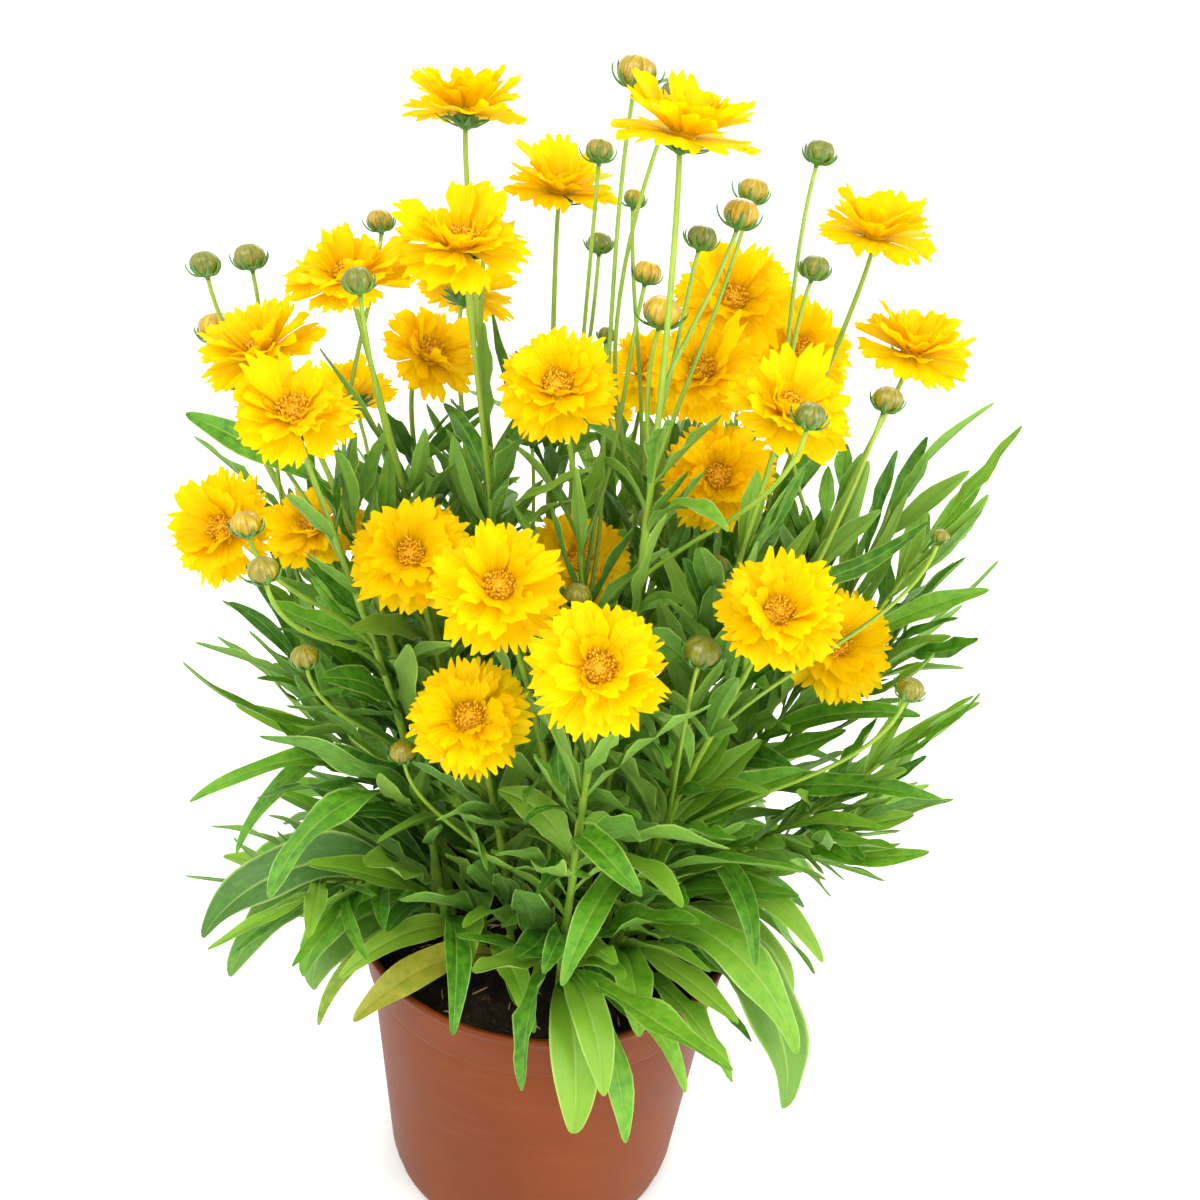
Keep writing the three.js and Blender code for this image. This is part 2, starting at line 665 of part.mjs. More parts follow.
function growPlant() {
  BLOOMS.forEach((_, k) => take(bloomBalls(k + 1), bloomOwner(k + 1)));
  BUDS.forEach(([x, y, z, across], k) => take([[x, y, z, 0.7 * across]], budOwner(k)));
  const feet = crownFeet();
  const stems = STEMS.map((b, i) => {
    const main = growStem(i, feet[i], b);
    take(pathBalls(main.curve, STEM.steps, STEM_BALL), i);
    return { b, main, branches: [], leaves: [], shoots: [] };
  });
  const addBranch = (draws, end, facing, b, extra) => {
    const branch = growBranch(stems, draws, end, facing, b);
    if (!branch) return;
    take(pathBalls(branch.curve, STEM.branchSteps, BRANCH_BALL), branch.stem);
    stems[branch.stem].branches.push({ ...branch, ...extra });
  };
  BLOOMS.forEach(({ at, side }, k) => {
    if (side) addBranch(70 + k, add(at, bloomFacing(k + 1), -CALYX.height), bloomFacing(k + 1), k + 1, {});
  });
  BUDS.forEach((bud, k) => {
    const tilt = heading(azimuthOf(bud), 80);
    addBranch(110 + k, add(bud, tilt, -0.5 * bud[3]), tilt, BUD_AS_BLOOM + k, { bud, tilt });
  });
  placedLeaves(stems);
  SHOOTS.forEach((end, k) => growShoot(stems, k, end));
  stems.forEach(({ main, leaves }, i) => leaves.push(...basalLeaves(i, main.curve)));
  stems.forEach(({ main, leaves }, i) => leaves.push(...stemLeaves(i, main.curve)));
  stems.forEach((stem) => (stem.leaves = stem.leaves.filter(Boolean)));
  return stems;
}

// ---- Solids -------------------------------------------------------------------------------------

// A closed solid from points and triangles, facing out.
function solidOf(points, faces) {
  const make = (tris) => {
    const geometry = new THREE.BufferGeometry();
    geometry.setAttribute("position", new THREE.Float32BufferAttribute(points.flat(), 3));
    geometry.setIndex(tris.flat());
    return toManifold(geometry);
  };
  const made = make(faces);
  return made.volume() > 0 ? made : make(faces.map(([a, b, c]) => [a, c, b]));
}

function toManifold(geometry) {
  const bare = geometry.clone();
  bare.deleteAttribute("normal");
  bare.deleteAttribute("uv");
  const merged = mergeVertices(bare, 1e-4);
  return new wasm.Manifold(
    new wasm.Mesh({
      numProp: 3,
      vertProperties: merged.attributes.position.array,
      triVerts: new Uint32Array(merged.index.array),
    }),
  );
}

function toMesh(solid, name, material) {
  const mesh = solid.getMesh();
  const points = new Float32Array(mesh.numVert * 3);
  for (let i = 0; i < mesh.numVert; i++) {
    points.set(mesh.vertProperties.subarray(i * mesh.numProp, i * mesh.numProp + 3), i * 3);
  }
  const geometry = new THREE.BufferGeometry();
  geometry.setAttribute("position", new THREE.BufferAttribute(points, 3));
  geometry.setIndex(new THREE.BufferAttribute(mesh.triVerts, 1));
  geometry.computeVertexNormals();
  const made = new THREE.Mesh(geometry, material);
  made.name = name;
  return made;
}

// Fuses solids that touch into one body, without edges too short to see, and drops loose scraps.
function fuse(solids) {
  const joined = solids.reduce((sum, solid) => sum.add(solid));
  const bodies = joined.asOriginal().simplify(0.1).decompose();
  return bodies.reduce((best, body) => (body.volume() > best.volume() ? body : best));
}

// Triangles between two closed rings of point numbers, which may differ in count.
function stitch(a, b) {
  const faces = [];
  let i = 0;
  let j = 0;
  while (i < a.length || j < b.length) {
    const onA = j >= b.length || (i < a.length && (i + 1) / a.length <= (j + 1) / b.length);
    const p = a[i % a.length];
    const q = b[j % b.length];
    if (onA) {
      faces.push([p, a[(i + 1) % a.length], q]);
      i++;
    } else {
      faces.push([p, b[(j + 1) % b.length], q]);
      j++;
    }
  }
  return faces;
}
// Triangles that close a ring, facing the way that it turns or, with -1, the other way.
const fan = (ring, turn = 1) =>
  ring.slice(1, -1).map((_, k) => {
    const [p, q] = turn > 0 ? [ring[k + 1], ring[k + 2]] : [ring[k + 2], ring[k + 1]];
    return [ring[0], p, q];
  });

// A solid through rings of points, closed at both ends. A ring of one point is a tip.
function loft(rings) {
  const points = rings.flat();
  let start = 0;
  const numbered = rings.map((ring) => ring.map(() => start++));
  const faces = [...fan(numbered[0], -1), ...fan(numbered[numbered.length - 1])];
  for (let k = 0; k + 1 < numbered.length; k++) {
    const [a, b] = [numbered[k], numbered[k + 1]];
    if (a.length === 1) b.forEach((q, i) => faces.push([a[0], b[(i + 1) % b.length], q]));
    else if (b.length === 1) a.forEach((p, i) => faces.push([p, a[(i + 1) % a.length], b[0]]));
    else faces.push(...stitch(a, b));
  }
  return solidOf(points, faces);
}

const ringAt = (at, u, v, radius, count, turn = 0) =>
  Array.from({ length: count }, (_, i) => {
    const angle = turn + (2 * Math.PI * i) / count;
    return add(add(at, u, radius * Math.cos(angle)), v, radius * Math.sin(angle));
  });

// Rings of a tapering stem along a curve. Its corners stay in line from end to end.
function stemRings(curve, places, radiusFrom, radiusTo, sides) {
  let [u] = square(bezierWay(curve, 0));
  const rings = places.map((t) => {
    const way = bezierWay(curve, t);
    const w = unit(cross(way, u));
    u = cross(w, way);
    return ringAt(bezier(curve, t), u, w, mix(radiusFrom, radiusTo, t), sides);
  });
  return { rings, u };
}

// Rings of a branch, which starts from a point inside the stem that it leaves.
function branchRings(curve, radiusFrom, radiusTo) {
  const places = stations(STEM.branchSteps);
  places[0] = STEM.branchFoot / size(sub(curve[3], curve[0]));
  const { rings, u } = stemRings(curve, places, radiusFrom, radiusTo, 3);
  return { rings: [[curve[0]], ...rings], u };
}

// A leaf blade: flat above, with its midrib as a keel below, and a stalk that starts inside the stem.
function leafBlade(leaf) {
  const stalk = LEAF.stalk / leaf.long;
  const { narrow, middling, wide } = LEAF.corners;
  const places = leaf.wide > LEAF.wide ? wide : leaf.wide > LEAF.middling ? middling : narrow;
  const rings = [stalk, ...places].map((t) => {
    const mid = leafMidrib(leaf, t);
    const side = leafSide(leaf, t);
    const below = cross(side, leafWay(leaf, t));
    const half = t === stalk ? leaf.root : leafHalf(leaf, t);
    return [add(mid, side, half), add(mid, side, -half), add(mid, below, LEAF.keel)];
  });
  const root = add(leaf.from, leafWay(leaf, 0), -leaf.root);
  return loft([[root], ...rings, [leafMidrib(leaf, 1)]]);
}

// A ring of points whose odd ones stand out as bract tips.
function bractRing(at, axis, u, v, count, valley, tip) {
  return Array.from({ length: 2 * count }, (_, i) => {
    const [radius, height] = i % 2 ? tip : valley;
    const angle = (Math.PI * i) / count;
    const out = add(scale(u, radius * Math.cos(angle)), v, radius * Math.sin(angle));
    return add(add(at, axis, height), out);
  });
}

// The green cup under a bloom, with its outer bracts spread, as rings that go on from its stem.
function calyxRings(b, u0) {
  const axis = bloomFacing(b);
  const v = unit(cross(axis, u0));
  const u = cross(v, axis);
  const top = BLOOMS[b - 1].at;
  return [
    bractRing(top, axis, u, v, CALYX.bracts, [CALYX.cupRadius, -3], [CALYX.bractReach, -2.2]),
    ringAt(add(top, axis, -GAP), u, v, CALYX.topRadius, CALYX.bracts),
  ];
}

// A round bud in its bracts, as rings that go on from its stem.
function budRings([x, y, z, across], tilt, u0) {
  const v = unit(cross(tilt, u0));
  const u = cross(v, tilt);
  const low = add([x, y, z], tilt, -0.5 * across);
  const at = (height) => add(low, tilt, height * across);
  return [
    bractRing(low, tilt, u, v, BUD.bracts, [0.34 * across, 0.14 * across], [0.56 * across, 0.46 * across]),
    ringAt(at(0.45), u, v, 0.44 * across, BUD.bracts),
    ringAt(at(0.64), u, v, 0.34 * across, BUD.bracts),
    [at(0.77)],
  ];
}

function leafyStem({ b, main, branches, leaves, shoots }) {
  const { footRadius, neckRadius, budNeckRadius, shootRadius, sides, steps } = STEM;
  const { rings, u } = stemRings(main.curve, stations(steps), footRadius, neckRadius, sides);
  const buried = rings[0].map(([x, y]) => [x, y, SOIL.level - HOLE_DEPTH]);
  const solids = [loft([buried, ...rings, ...calyxRings(b, u)])];
  branches.forEach((branch) => {
    const isBud = Boolean(branch.bud);
    const stalk = branchRings(branch.curve, neckRadius, isBud ? budNeckRadius : neckRadius);
    const head = isBud ? budRings(branch.bud, branch.tilt, stalk.u) : calyxRings(branch.b, stalk.u);
    solids.push(loft([...stalk.rings, ...head]));
  });
  shoots.forEach(({ curve }) => solids.push(loft(branchRings(curve, neckRadius, shootRadius).rings)));
  const blades = [...leaves, ...shoots.flatMap((shoot) => shoot.leaves)];
  return fuse([...solids, ...blades.map(leafBlade)]);
}

const MATERIALS = {
  pot: new THREE.MeshStandardMaterial({ color: 0xa15d3e, roughness: 0.45, metalness: 0 }),
  soil: new THREE.MeshStandardMaterial({ color: 0x2a1d15, roughness: 0.95, metalness: 0 }),
  green: new THREE.MeshStandardMaterial({ color: 0x5a9130, roughness: 0.6, metalness: 0 }),
  petal: new THREE.MeshStandardMaterial({ color: 0xffd500, roughness: 0.6, metalness: 0 }),
};
const twoDigits = (n) => String(n).padStart(2, "0");

// ---- Blooms -------------------------------------------------------------------------------------

// One petal: a wedge with a toothed end, grown from two neighbouring points of a lower ring and the
// two above them. Its underside is keeled to one point.
function growPetal(points, faces, base, { angle, radius, start, lift, half, teeth }) {
  const out = [Math.cos(angle), Math.sin(angle), 0];
  const side = [-out[1], out[0], 0];
  const place = (reach, across, drop) => {
    const rise = (reach - start[0]) * Math.tan(lift * RADIAN);
    points.push(add(add(scale(out, reach), side, across), UP, start[1] + rise + drop));
    return points.length - 1;
  };
  const [lowLeft, lowRight, highRight, highLeft] = base;
  const end = teeth.map(([reach, across, drop]) => place(reach * radius, across * half, drop));
  const under = place(0.55 * radius, 0, -BLOOM.keel);
  const middle = (end.length - 1) / 2;
  end.slice(1).forEach((p, k) => faces.push([k < middle ? highLeft : highRight, p, end[k]]));
  faces.push([highLeft, highRight, end[middle]]);
  const rim = [highLeft, ...end, highRight, lowRight, lowLeft];
  rim.forEach((p, k) => faces.push([p, rim[(k + 1) % rim.length], under]));
}

function bloom(b) {
  const { at, across } = BLOOMS[b - 1];
  const points = [];
  const ring = (radius, height, count, turn) =>
    ringAt([0, 0, height], [1, 0, 0], [0, 1, 0], radius, count, turn).map((p) => points.push(p) - 1);
  const { outer, inner, coreRadius: core, blade } = BLOOM;
  const turn = between(0, Math.PI, b, 0, 51);
  const low = ring(core, outer.z, outer.petals, turn);
  const lowTop = ring(core, outer.z + blade, outer.petals, turn);
  const high = ring(core, inner.z, inner.petals, turn);
  const highTop = ring(core, inner.z + blade, inner.petals, turn);
  points.push([0, 0, BLOOM.discHeight]);
  const tip = points.length - 1;
  const faces = [...fan(low, -1), ...stitch(lowTop, high)];
  highTop.forEach((p, i) => faces.push([p, highTop[(i + 1) % highTop.length], tip]));
  [
    [outer, low, lowTop, 0],
    [inner, high, highTop, 100],
  ].forEach(([layer, under, over, draws]) => {
    under.forEach((p, i) => {
      const next = (i + 1) % under.length;
      const reach = layer.reach * 0.5 * across * between(...BLOOM.reach, b, i + draws, 52);
      growPetal(points, faces, [under[next], p, over[i], over[next]], {
        angle: turn + (2 * Math.PI * (i + 0.5)) / layer.petals,
        radius: reach,
        start: [core, layer.z + blade],
        lift: layer.lift + between(-4, 4, b, i + draws, 53),
        half: layer.width * 0.92 * reach * Math.tan(Math.PI / layer.petals),
        teeth: layer.teeth,
      });
    });
  });
  const mesh = toMesh(solidOf(points, faces), `bloom_${twoDigits(b)}`, MATERIALS.petal);
  const axis = bloomFacing(b);
  const [u, v] = square(axis);
  const turned = new THREE.Matrix4().makeBasis(...[u, v, axis].map((way) => new THREE.Vector3(...way)));
  mesh.quaternion.setFromRotationMatrix(turned);
  mesh.position.set(...at);
  return mesh;
}

// ---- Pot and soil -------------------------------------------------------------------------------

function lathe(profile, sides) {
  const geometry = new THREE.LatheGeometry(
    profile.map(([r, z]) => new THREE.Vector2(r, z)),
    sides,
  );
  geometry.rotateX(Math.PI / 2);
  return geometry;
}

function outward(geometry) {
  const made = toManifold(geometry);
  if (made.volume() > 0) return made;
  const index = geometry.index.array;
  for (let i = 0; i < index.length; i += 3) [index[i + 1], index[i + 2]] = [index[i + 2], index[i + 1]];
  return toManifold(geometry);
}

function pot() {
  const { height, rimRadius, footRadius, wall, floor, footRound, beadHeight, beadDepth, stepDepth } = POT;
  const stepHeight = height - POT.stepDrop;
  const wallAt = (z) => mix(footRadius, rimRadius, z / height);
  const shell = outward(
    lathe(
      [
        [0, 0],
        [footRadius - footRound, 0],
        [wallAt(footRound), footRound],
        [wallAt(stepHeight) - stepDepth, stepHeight],
        [wallAt(stepHeight), stepHeight + 1.5],
        [wallAt(height - beadHeight), height - beadHeight],
        [rimRadius + beadDepth, height - 0.6 * beadHeight],
        [rimRadius + 0.6 * beadDepth, height],
        [rimRadius - wall, height - 0.4],
        [wallAt(stepHeight) - wall - stepDepth, stepHeight],
        [wallAt(floor) - wall - 1, floor],
        [0, floor],
      ],
      POT.sides,
    ),
  );
  const drain = new THREE.CylinderGeometry(POT.drainRadius, POT.drainRadius, 30, 6);
  return Array.from({ length: POT.drainHoles }, (_, i) => {
    const angle = (2 * Math.PI * (i + 0.5)) / POT.drainHoles;
    const hole = drain.clone();
    hole.rotateZ(Math.PI / 2).rotateY(-0.6).rotateZ(angle);
    return outward(hole.translate((footRadius - 2) * Math.cos(angle), (footRadius - 2) * Math.sin(angle), 3));
  }).reduce((sum, hole) => sum.subtract(hole), shell);
}

function soil(stems) {
  const { height, rimRadius, wall, floor, stepDepth } = POT;
  const stepHeight = height - POT.stepDrop;
  const wallAt = (z) => mix(POT.footRadius, rimRadius, z / height);
  const inset = wall + SOIL.edgeGap + 0.6;
  const body = outward(
    lathe(
      [
        [0, floor + GAP],
        [wallAt(floor) - inset - 1, floor + GAP],
        [wallAt(stepHeight) - inset - stepDepth, stepHeight],
        [wallAt(SOIL.level - 6) - inset - stepDepth, SOIL.level - 6],
        [wallAt(SOIL.level) - inset - 6, SOIL.level],
        [0.5 * rimRadius, SOIL.level],
        [0, SOIL.level + SOIL.crown],
      ],
      SOIL.sides,
    ),
  );
  const bottom = SOIL.level - HOLE_DEPTH - GAP;
  const tall = 2 * HOLE_DEPTH;
  return stems.reduce((left, { main }) => {
    const [x, y] = main.curve[0];
    const hole = new THREE.CylinderGeometry(STEM_HOLE_RADIUS, STEM_HOLE_RADIUS, tall, 4);
    return left.subtract(outward(hole.rotateX(Math.PI / 2).translate(x, y, bottom + 0.5 * tall)));
  }, body);
}

// ---- Assembly -----------------------------------------------------------------------------------

const plant = growPlant();
const coreopsis = new THREE.Group();
const potted = new THREE.Group();
potted.add(toMesh(pot(), "pot", MATERIALS.pot), toMesh(soil(plant), "soil", MATERIALS.soil));
const greens = new THREE.Group();
plant.forEach((stem, i) => {
  greens.add(toMesh(leafyStem(stem), `leafy_stem_${twoDigits(i + 1)}`, MATERIALS.green));
});
const blooms = new THREE.Group();
BLOOMS.forEach((_, k) => blooms.add(bloom(k + 1)));
coreopsis.add(potted, greens, blooms);

export default coreopsis;
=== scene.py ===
"""A potted coreopsis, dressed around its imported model.

The frame holds a pot, its soil, 27 leafy stems and 30 blooms. The plant is grown here by the same
rules and the same seeded draws as in the part's source, so each fine piece lies where its solid
lies. Growth and shapes are worked out in millimetres, and become metres as a mesh is made.
"""

import math
from types import SimpleNamespace

import bpy
import numpy as np
from mathutils import Matrix, Vector, noise


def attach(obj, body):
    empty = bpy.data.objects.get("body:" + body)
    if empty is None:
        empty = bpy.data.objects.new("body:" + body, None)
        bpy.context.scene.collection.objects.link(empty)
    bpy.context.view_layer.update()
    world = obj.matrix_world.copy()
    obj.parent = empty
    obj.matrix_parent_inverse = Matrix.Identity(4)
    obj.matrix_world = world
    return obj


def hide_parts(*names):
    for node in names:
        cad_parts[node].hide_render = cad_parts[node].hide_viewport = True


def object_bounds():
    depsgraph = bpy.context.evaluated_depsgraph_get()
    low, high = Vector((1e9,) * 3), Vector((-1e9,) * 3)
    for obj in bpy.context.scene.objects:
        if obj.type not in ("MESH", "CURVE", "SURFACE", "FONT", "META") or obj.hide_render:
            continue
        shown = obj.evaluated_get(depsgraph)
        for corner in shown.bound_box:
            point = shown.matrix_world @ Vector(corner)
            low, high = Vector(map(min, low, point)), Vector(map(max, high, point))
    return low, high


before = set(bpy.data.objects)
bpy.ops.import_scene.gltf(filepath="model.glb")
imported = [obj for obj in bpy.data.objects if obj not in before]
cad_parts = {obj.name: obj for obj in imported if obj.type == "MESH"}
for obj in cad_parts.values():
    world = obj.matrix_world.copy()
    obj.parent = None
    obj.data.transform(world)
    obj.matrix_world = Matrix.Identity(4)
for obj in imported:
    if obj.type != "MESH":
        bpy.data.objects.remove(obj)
CAD_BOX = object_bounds()
MM = 0.001

# ---- Sizes that the part's source gives ----------------------------------------------------------

POT = SimpleNamespace(
    height=150, rim_radius=94, foot_radius=77, wall=1.8, floor=3, foot_round=5, step_drop=25,
    step_depth=1.8, bead_height=3.2, bead_depth=1.5, drain_holes=6, drain_radius=5,
)
SOIL = SimpleNamespace(level=135, crown=4, edge_gap=0.4)
HOLE_DEPTH = 14
STEM = SimpleNamespace(
    foot_radius=1.8, neck_radius=1, bud_neck_radius=0.85, shoot_radius=0.75,
    steps=6, branch_steps=3,
)
CROWN = SimpleNamespace(radius=60, spread=0.42, spacing=17)
CALYX = SimpleNamespace(height=5)

# Open blooms: place of the head's base, the azimuth (from -Y towards +X) and elevation that it
# faces, and its diameter. The last three end side branches, the others a stem of their own.
BLOOMS = [
    ((-58, 25, 519), (180, 84), 55),
    ((26, -47, 519), (40, 80), 56),
    ((-20, 73, 489), (10, 78), 57),
    ((-52, -26, 473), (-8, 60), 54),
    ((118, 37, 484), (10, 78), 55),
    ((-96, -20, 456), (-25, 70), 54),
    ((-63, 85, 438), (165, 55), 52),
    ((-127, -31, 427), (-60, 62), 54),
    ((-108, -61, 412), (4, 56), 48),
    ((-72, 27, 420), (50, 42), 48),
    ((-12, -39, 425), (0, 42), 52),
    ((61, 41, 452), (0, 38), 57),
    ((137, 15, 440), (20, 74), 56),
    ((98, 67, 427), (18, 38), 56),
    ((48, 8, 426), (-10, 44), 53),
    ((76, -49, 425), (20, 58), 53),
    ((59, 0, 383), (-8, 28), 53),
    ((30, 82, 407), (15, 48), 52),
    ((-161, 18, 334), (-22, 30), 56),
    ((-115, -4, 346), (-18, 56), 49),
    ((-66, -47, 354), (0, 46), 54),
    ((-27, -96, 363), (8, 52), 54),
    ((1, 4, 337), (15, 48), 51),
    ((11, -131, 351), (-4, 42), 51),
    ((-36, -87, 304), (-5, 46), 50),
    ((79, -76, 353), (0, 50), 53),
    ((118, -15, 314), (10, 38), 55),
    ((-118, 92, 380), (-140, 48), 50),
    ((2, 128, 377), (176, 46), 52),
    ((106, 112, 373), (140, 50), 50),
]
SIDE_BLOOMS = (28, 29, 30)
STEMS = [b for b in range(1, len(BLOOMS) + 1) if b not in SIDE_BLOOMS]

# Flower buds: place and diameter.
BUDS = [
    (9, -15, 541, 16), (25, 12, 535, 12), (-3, 32, 511, 13), (87, 24, 518, 13), (62, 25, 501, 14),
    (13, 22, 494, 10), (53, -20, 495, 15), (41, 2, 483, 13), (0, 44, 473, 12), (20, -10, 469, 12),
    (26, -32, 458, 16), (88, 2, 475, 13), (-50, 8, 490, 13), (-62, 47, 476, 10), (-92, 20, 477, 12),
    (-84, -65, 465, 12), (-156, -9, 458, 13), (-145, 15, 459, 14), (-158, 8, 430, 17),
    (-158, 30, 402, 10), (6, 14, 439, 8), (116, -40, 433, 13), (78, -86, 435, 12),
    (-24, 20, 391, 12), (31, -20, 370, 13), (59, -30, 355, 12), (52, -76, 337, 16),
    (136, -76, 327, 12), (-121, -85, 378, 12), (-108, -110, 371, 12), (-104, -72, 319, 12),
    (2, -52, 346, 12), (-10, -26, 325, 11), (-152, -72, 293, 7), (-66, -64, 274, 12),
    (150, -32, 376, 8),
]

# Leaves with a place of their own: the stem, how far up it the leaf starts, where its tip is, by
# how many degrees it starts steeper than the straight line to its tip, its width, and how yellow
# it is. Most are large and hang over the rim at the front.
PLACED_LEAVES = (
    (7, 0.03, (-119, -32, 105), 75, 28, 0.0),
    (18, 0.03, (-148, -51, 135), 65, 26, 0.0),
    (7, 0.06, (-157, -58, 163), 65, 28, 0.0),
    (19, 0.08, (-131, -39, 132), 55, 19, 0.0),
    (24, 0.03, (-81, -92, 152), 40, 18, 0.8),
    (20, 0.03, (-90, -78, 163), 45, 14, 0.1),
    (8, 0.05, (-100, -77, 134), 65, 9, 0.35),
    (23, 0.04, (18, -122, 128), 80, 23, 0.0),
    (23, 0.07, (29, -122, 150), 65, 18, 0.0),
    (25, 0.06, (43, -100, 162), 50, 19, 0.0),
    (20, 0.05, (-2, -108, 168), 30, 13, 0.0),
    (26, 0.03, (115, -85, 111), 80, 30, 0.0),
    (26, 0.06, (123, -34, 127), 60, 23, 0.0),
    (15, 0.04, (115, -89, 148), 65, 22, 0.0),
    (12, 0.04, (127, -61, 176), 60, 15, 0.0),
    (15, 0.14, (8, -108, 194), 50, 15, 0.0),
    (7, 0.72, (-164, 12, 390), 6, 14, 0.0),
    (2, 0.53, (-43, 17, 442), -15, 10, 0.0),
    (9, 0.62, (-104, -37, 433), 4, 7, 0.0),
    (1, 0.49, (58, -76, 386), 55, 11, 0.0),
    (26, 0.36, (164, -64, 268), 20, 14, 0.0),
    (26, 0.5, (158, -30, 290), 27, 15, 0.0),
    (15, 0.62, (123, -87, 406), -15, 13, 0.0),
    (19, 0.29, (-158, -59, 237), 40, 12, 0.0),
    (18, 0.4, (-157, -59, 305), -20, 10, 0.0),
    (18, 0.31, (-143, -47, 203), 60, 10, 0.0),
)

# Ends of the side shoots that bear no flower.
SHOOTS = (
    (144, 27, 368), (153, 0, 356), (157, 8, 310), (152, -24, 292), (143, -36, 268), (131, -47, 240),
    (-132, 38, 330), (-128, 18, 262), (-118, -26, 228), (-112, -40, 186), (-100, 112, 300),
    (16, 158, 318), (104, 118, 286),
)

# ---- Vectors -------------------------------------------------------------------------------------


def add(a, b, k=1.0):
    return (a[0] + k * b[0], a[1] + k * b[1], a[2] + k * b[2])


def sub(a, b):
    return (a[0] - b[0], a[1] - b[1], a[2] - b[2])


def scale(a, k):
    return (a[0] * k, a[1] * k, a[2] * k)


def cross(a, b):
    return (a[1] * b[2] - a[2] * b[1], a[2] * b[0] - a[0] * b[2], a[0] * b[1] - a[1] * b[0])


def size(a):
    return math.sqrt(a[0] * a[0] + a[1] * a[1] + a[2] * a[2])


def unit(a):
    return scale(a, 1 / size(a))


def mix(a, b, t):
    return a + (b - a) * t


def heading(azimuth, elevation):
    """The way that an azimuth (from -Y towards +X) and an elevation point, both in degrees."""
    a = math.radians(azimuth)
    e = math.radians(elevation)
    return (math.sin(a) * math.cos(e), -math.cos(a) * math.cos(e), math.sin(e))


def square(direction):
    """Two unit vectors square to a direction."""
    away = (0, 0, 1) if abs(direction[2]) < 0.9 else (0, 1, 0)
    u = unit(cross(away, direction))
    return u, cross(direction, u)


def azimuth_of(place):
    return math.degrees(math.atan2(place[0], -place[1]))


def full_turn(share, count):
    """The angle of a share of count equal steps round."""
    return 2 * math.pi * share / count


def even_turns(sides):
    return full_turn(np.arange(sides), sides)


WORD = 0xFFFFFFFF


def draw(a, b, c):
    """A number from 0 to 1 that depends only on three whole numbers. The first two say what it is
    for, such as a stem and one of its leaves, and the last tells its uses apart."""
    h = ((a + 1) * 0x9E3779B1 ^ (b + 1) * 0x85EBCA6B ^ (c + 1) * 0xC2B2AE35) & WORD
    h = ((h ^ (h >> 15)) * 0x2C1B3C6D) & WORD
    h = ((h ^ (h >> 12)) * 0x297A2D39) & WORD
    return (h ^ (h >> 15)) / (WORD + 1)


def between(low, high, a, b, c):
    return mix(low, high, draw(a, b, c))


def bezier(p, t):
    """A point of a cubic Bezier curve."""
    s = 1 - t
    weights = (s * s * s, 3 * s * s * t, 3 * s * t * t, t * t * t)
    total = (0.0, 0.0, 0.0)
    for point, weight in zip(p, weights):
        total = add(total, point, weight)
    return total


# ---- Room: what is taken is kept as balls, each with the body that owns it -----------------------

BALL_STEP = 5
STEM_BALL = 2.5
BRANCH_BALL = 2.3
LEAF_BALL = 2.6
HEAD_REACH = 22  # from a stem's end, where it may touch its own bloom
FORK_REACH = 24  # from a branch's start, where it may touch its own stem
LEAF_ROOT = 0.12  # up to this part of its length a leaf is at its stem, and takes no room
LEAF_FREE = 0.3  # from here on it may not touch its own stem either
CELL = 24  # wider than any two balls together
BLOOM_OWNERS = 1000  # the blooms' balls have owners from here on, and the stems' smaller ones
BUD_AS_BLOOM = 100
BESIDE = (-1, 0, 1)
POT_GAP = 2
STATION_CROWDING = 1.25


def bloom_owner(b):
    return BLOOM_OWNERS + b


def cell_of(x, y, z):
    return (math.floor(x / CELL), math.floor(y / CELL), math.floor(z / CELL))


class Room:
    """Each cell lists the balls in it and in the cells beside it."""

    def __init__(self):
        self.near = {}

    def take(self, balls, owner):
        for x, y, z, r in balls:
            i, j, k = cell_of(x, y, z)
            for cell in ((i + a, j + b, k + c) for a in BESIDE for b in BESIDE for c in BESIDE):
                self.near.setdefault(cell, []).append((x, y, z, r, owner))

    def is_ball_clear(self, ball, skip=()):
        x, y, z, r = ball
        for u, v, w, q, owner in self.near.get(cell_of(x, y, z), ()):
            apart = (x - u) * (x - u) + (y - v) * (y - v) + (z - w) * (z - w)
            if apart < (r + q) * (r + q) and owner not in skip:
                return False
        return True

    def is_clear(self, balls, skip=()):
        return all(self.is_ball_clear(ball, skip) for ball in balls)


room = Room()


def is_off_pot(ball):
    """Whether a ball stays clear of the pot and the soil."""
    x, y, z, r = ball
    out = math.sqrt(x * x + y * y)
    wall = mix(POT.foot_radius, POT.rim_radius, min(1, max(0, z / POT.height)))
    outside = out > wall + POT.bead_depth + r
    inside = out < POT.rim_radius - POT.wall - POT_GAP - r and z > SOIL.level + SOIL.crown + r
    return z > POT.height + r or outside or inside


def stations(steps):
    """Places along a curve, closer together towards its end, where it bends most."""
    return [1 - (1 - k / steps) ** STATION_CROWDING for k in range(steps + 1)]


def on_stem(curve, steps, t):
    """A place on a stem's solid, which is straight between its corners."""
    places = stations(steps)
    k = next(i for i in range(1, steps + 1) if places[i] >= t)
    start = bezier(curve, places[k - 1])
    end = bezier(curve, places[k])
    return add(start, sub(end, start), (t - places[k - 1]) / (places[k] - places[k - 1]))


def path_balls(curve, steps, radius):
    corners = [bezier(curve, t) for t in stations(steps)]
    balls = []
    for start, end in zip(corners, corners[1:]):
        count = math.ceil(size(sub(end, start)) / BALL_STEP)
        balls += [(*add(start, sub(end, start), (i + 1) / count), radius) for i in range(count)]
    return balls


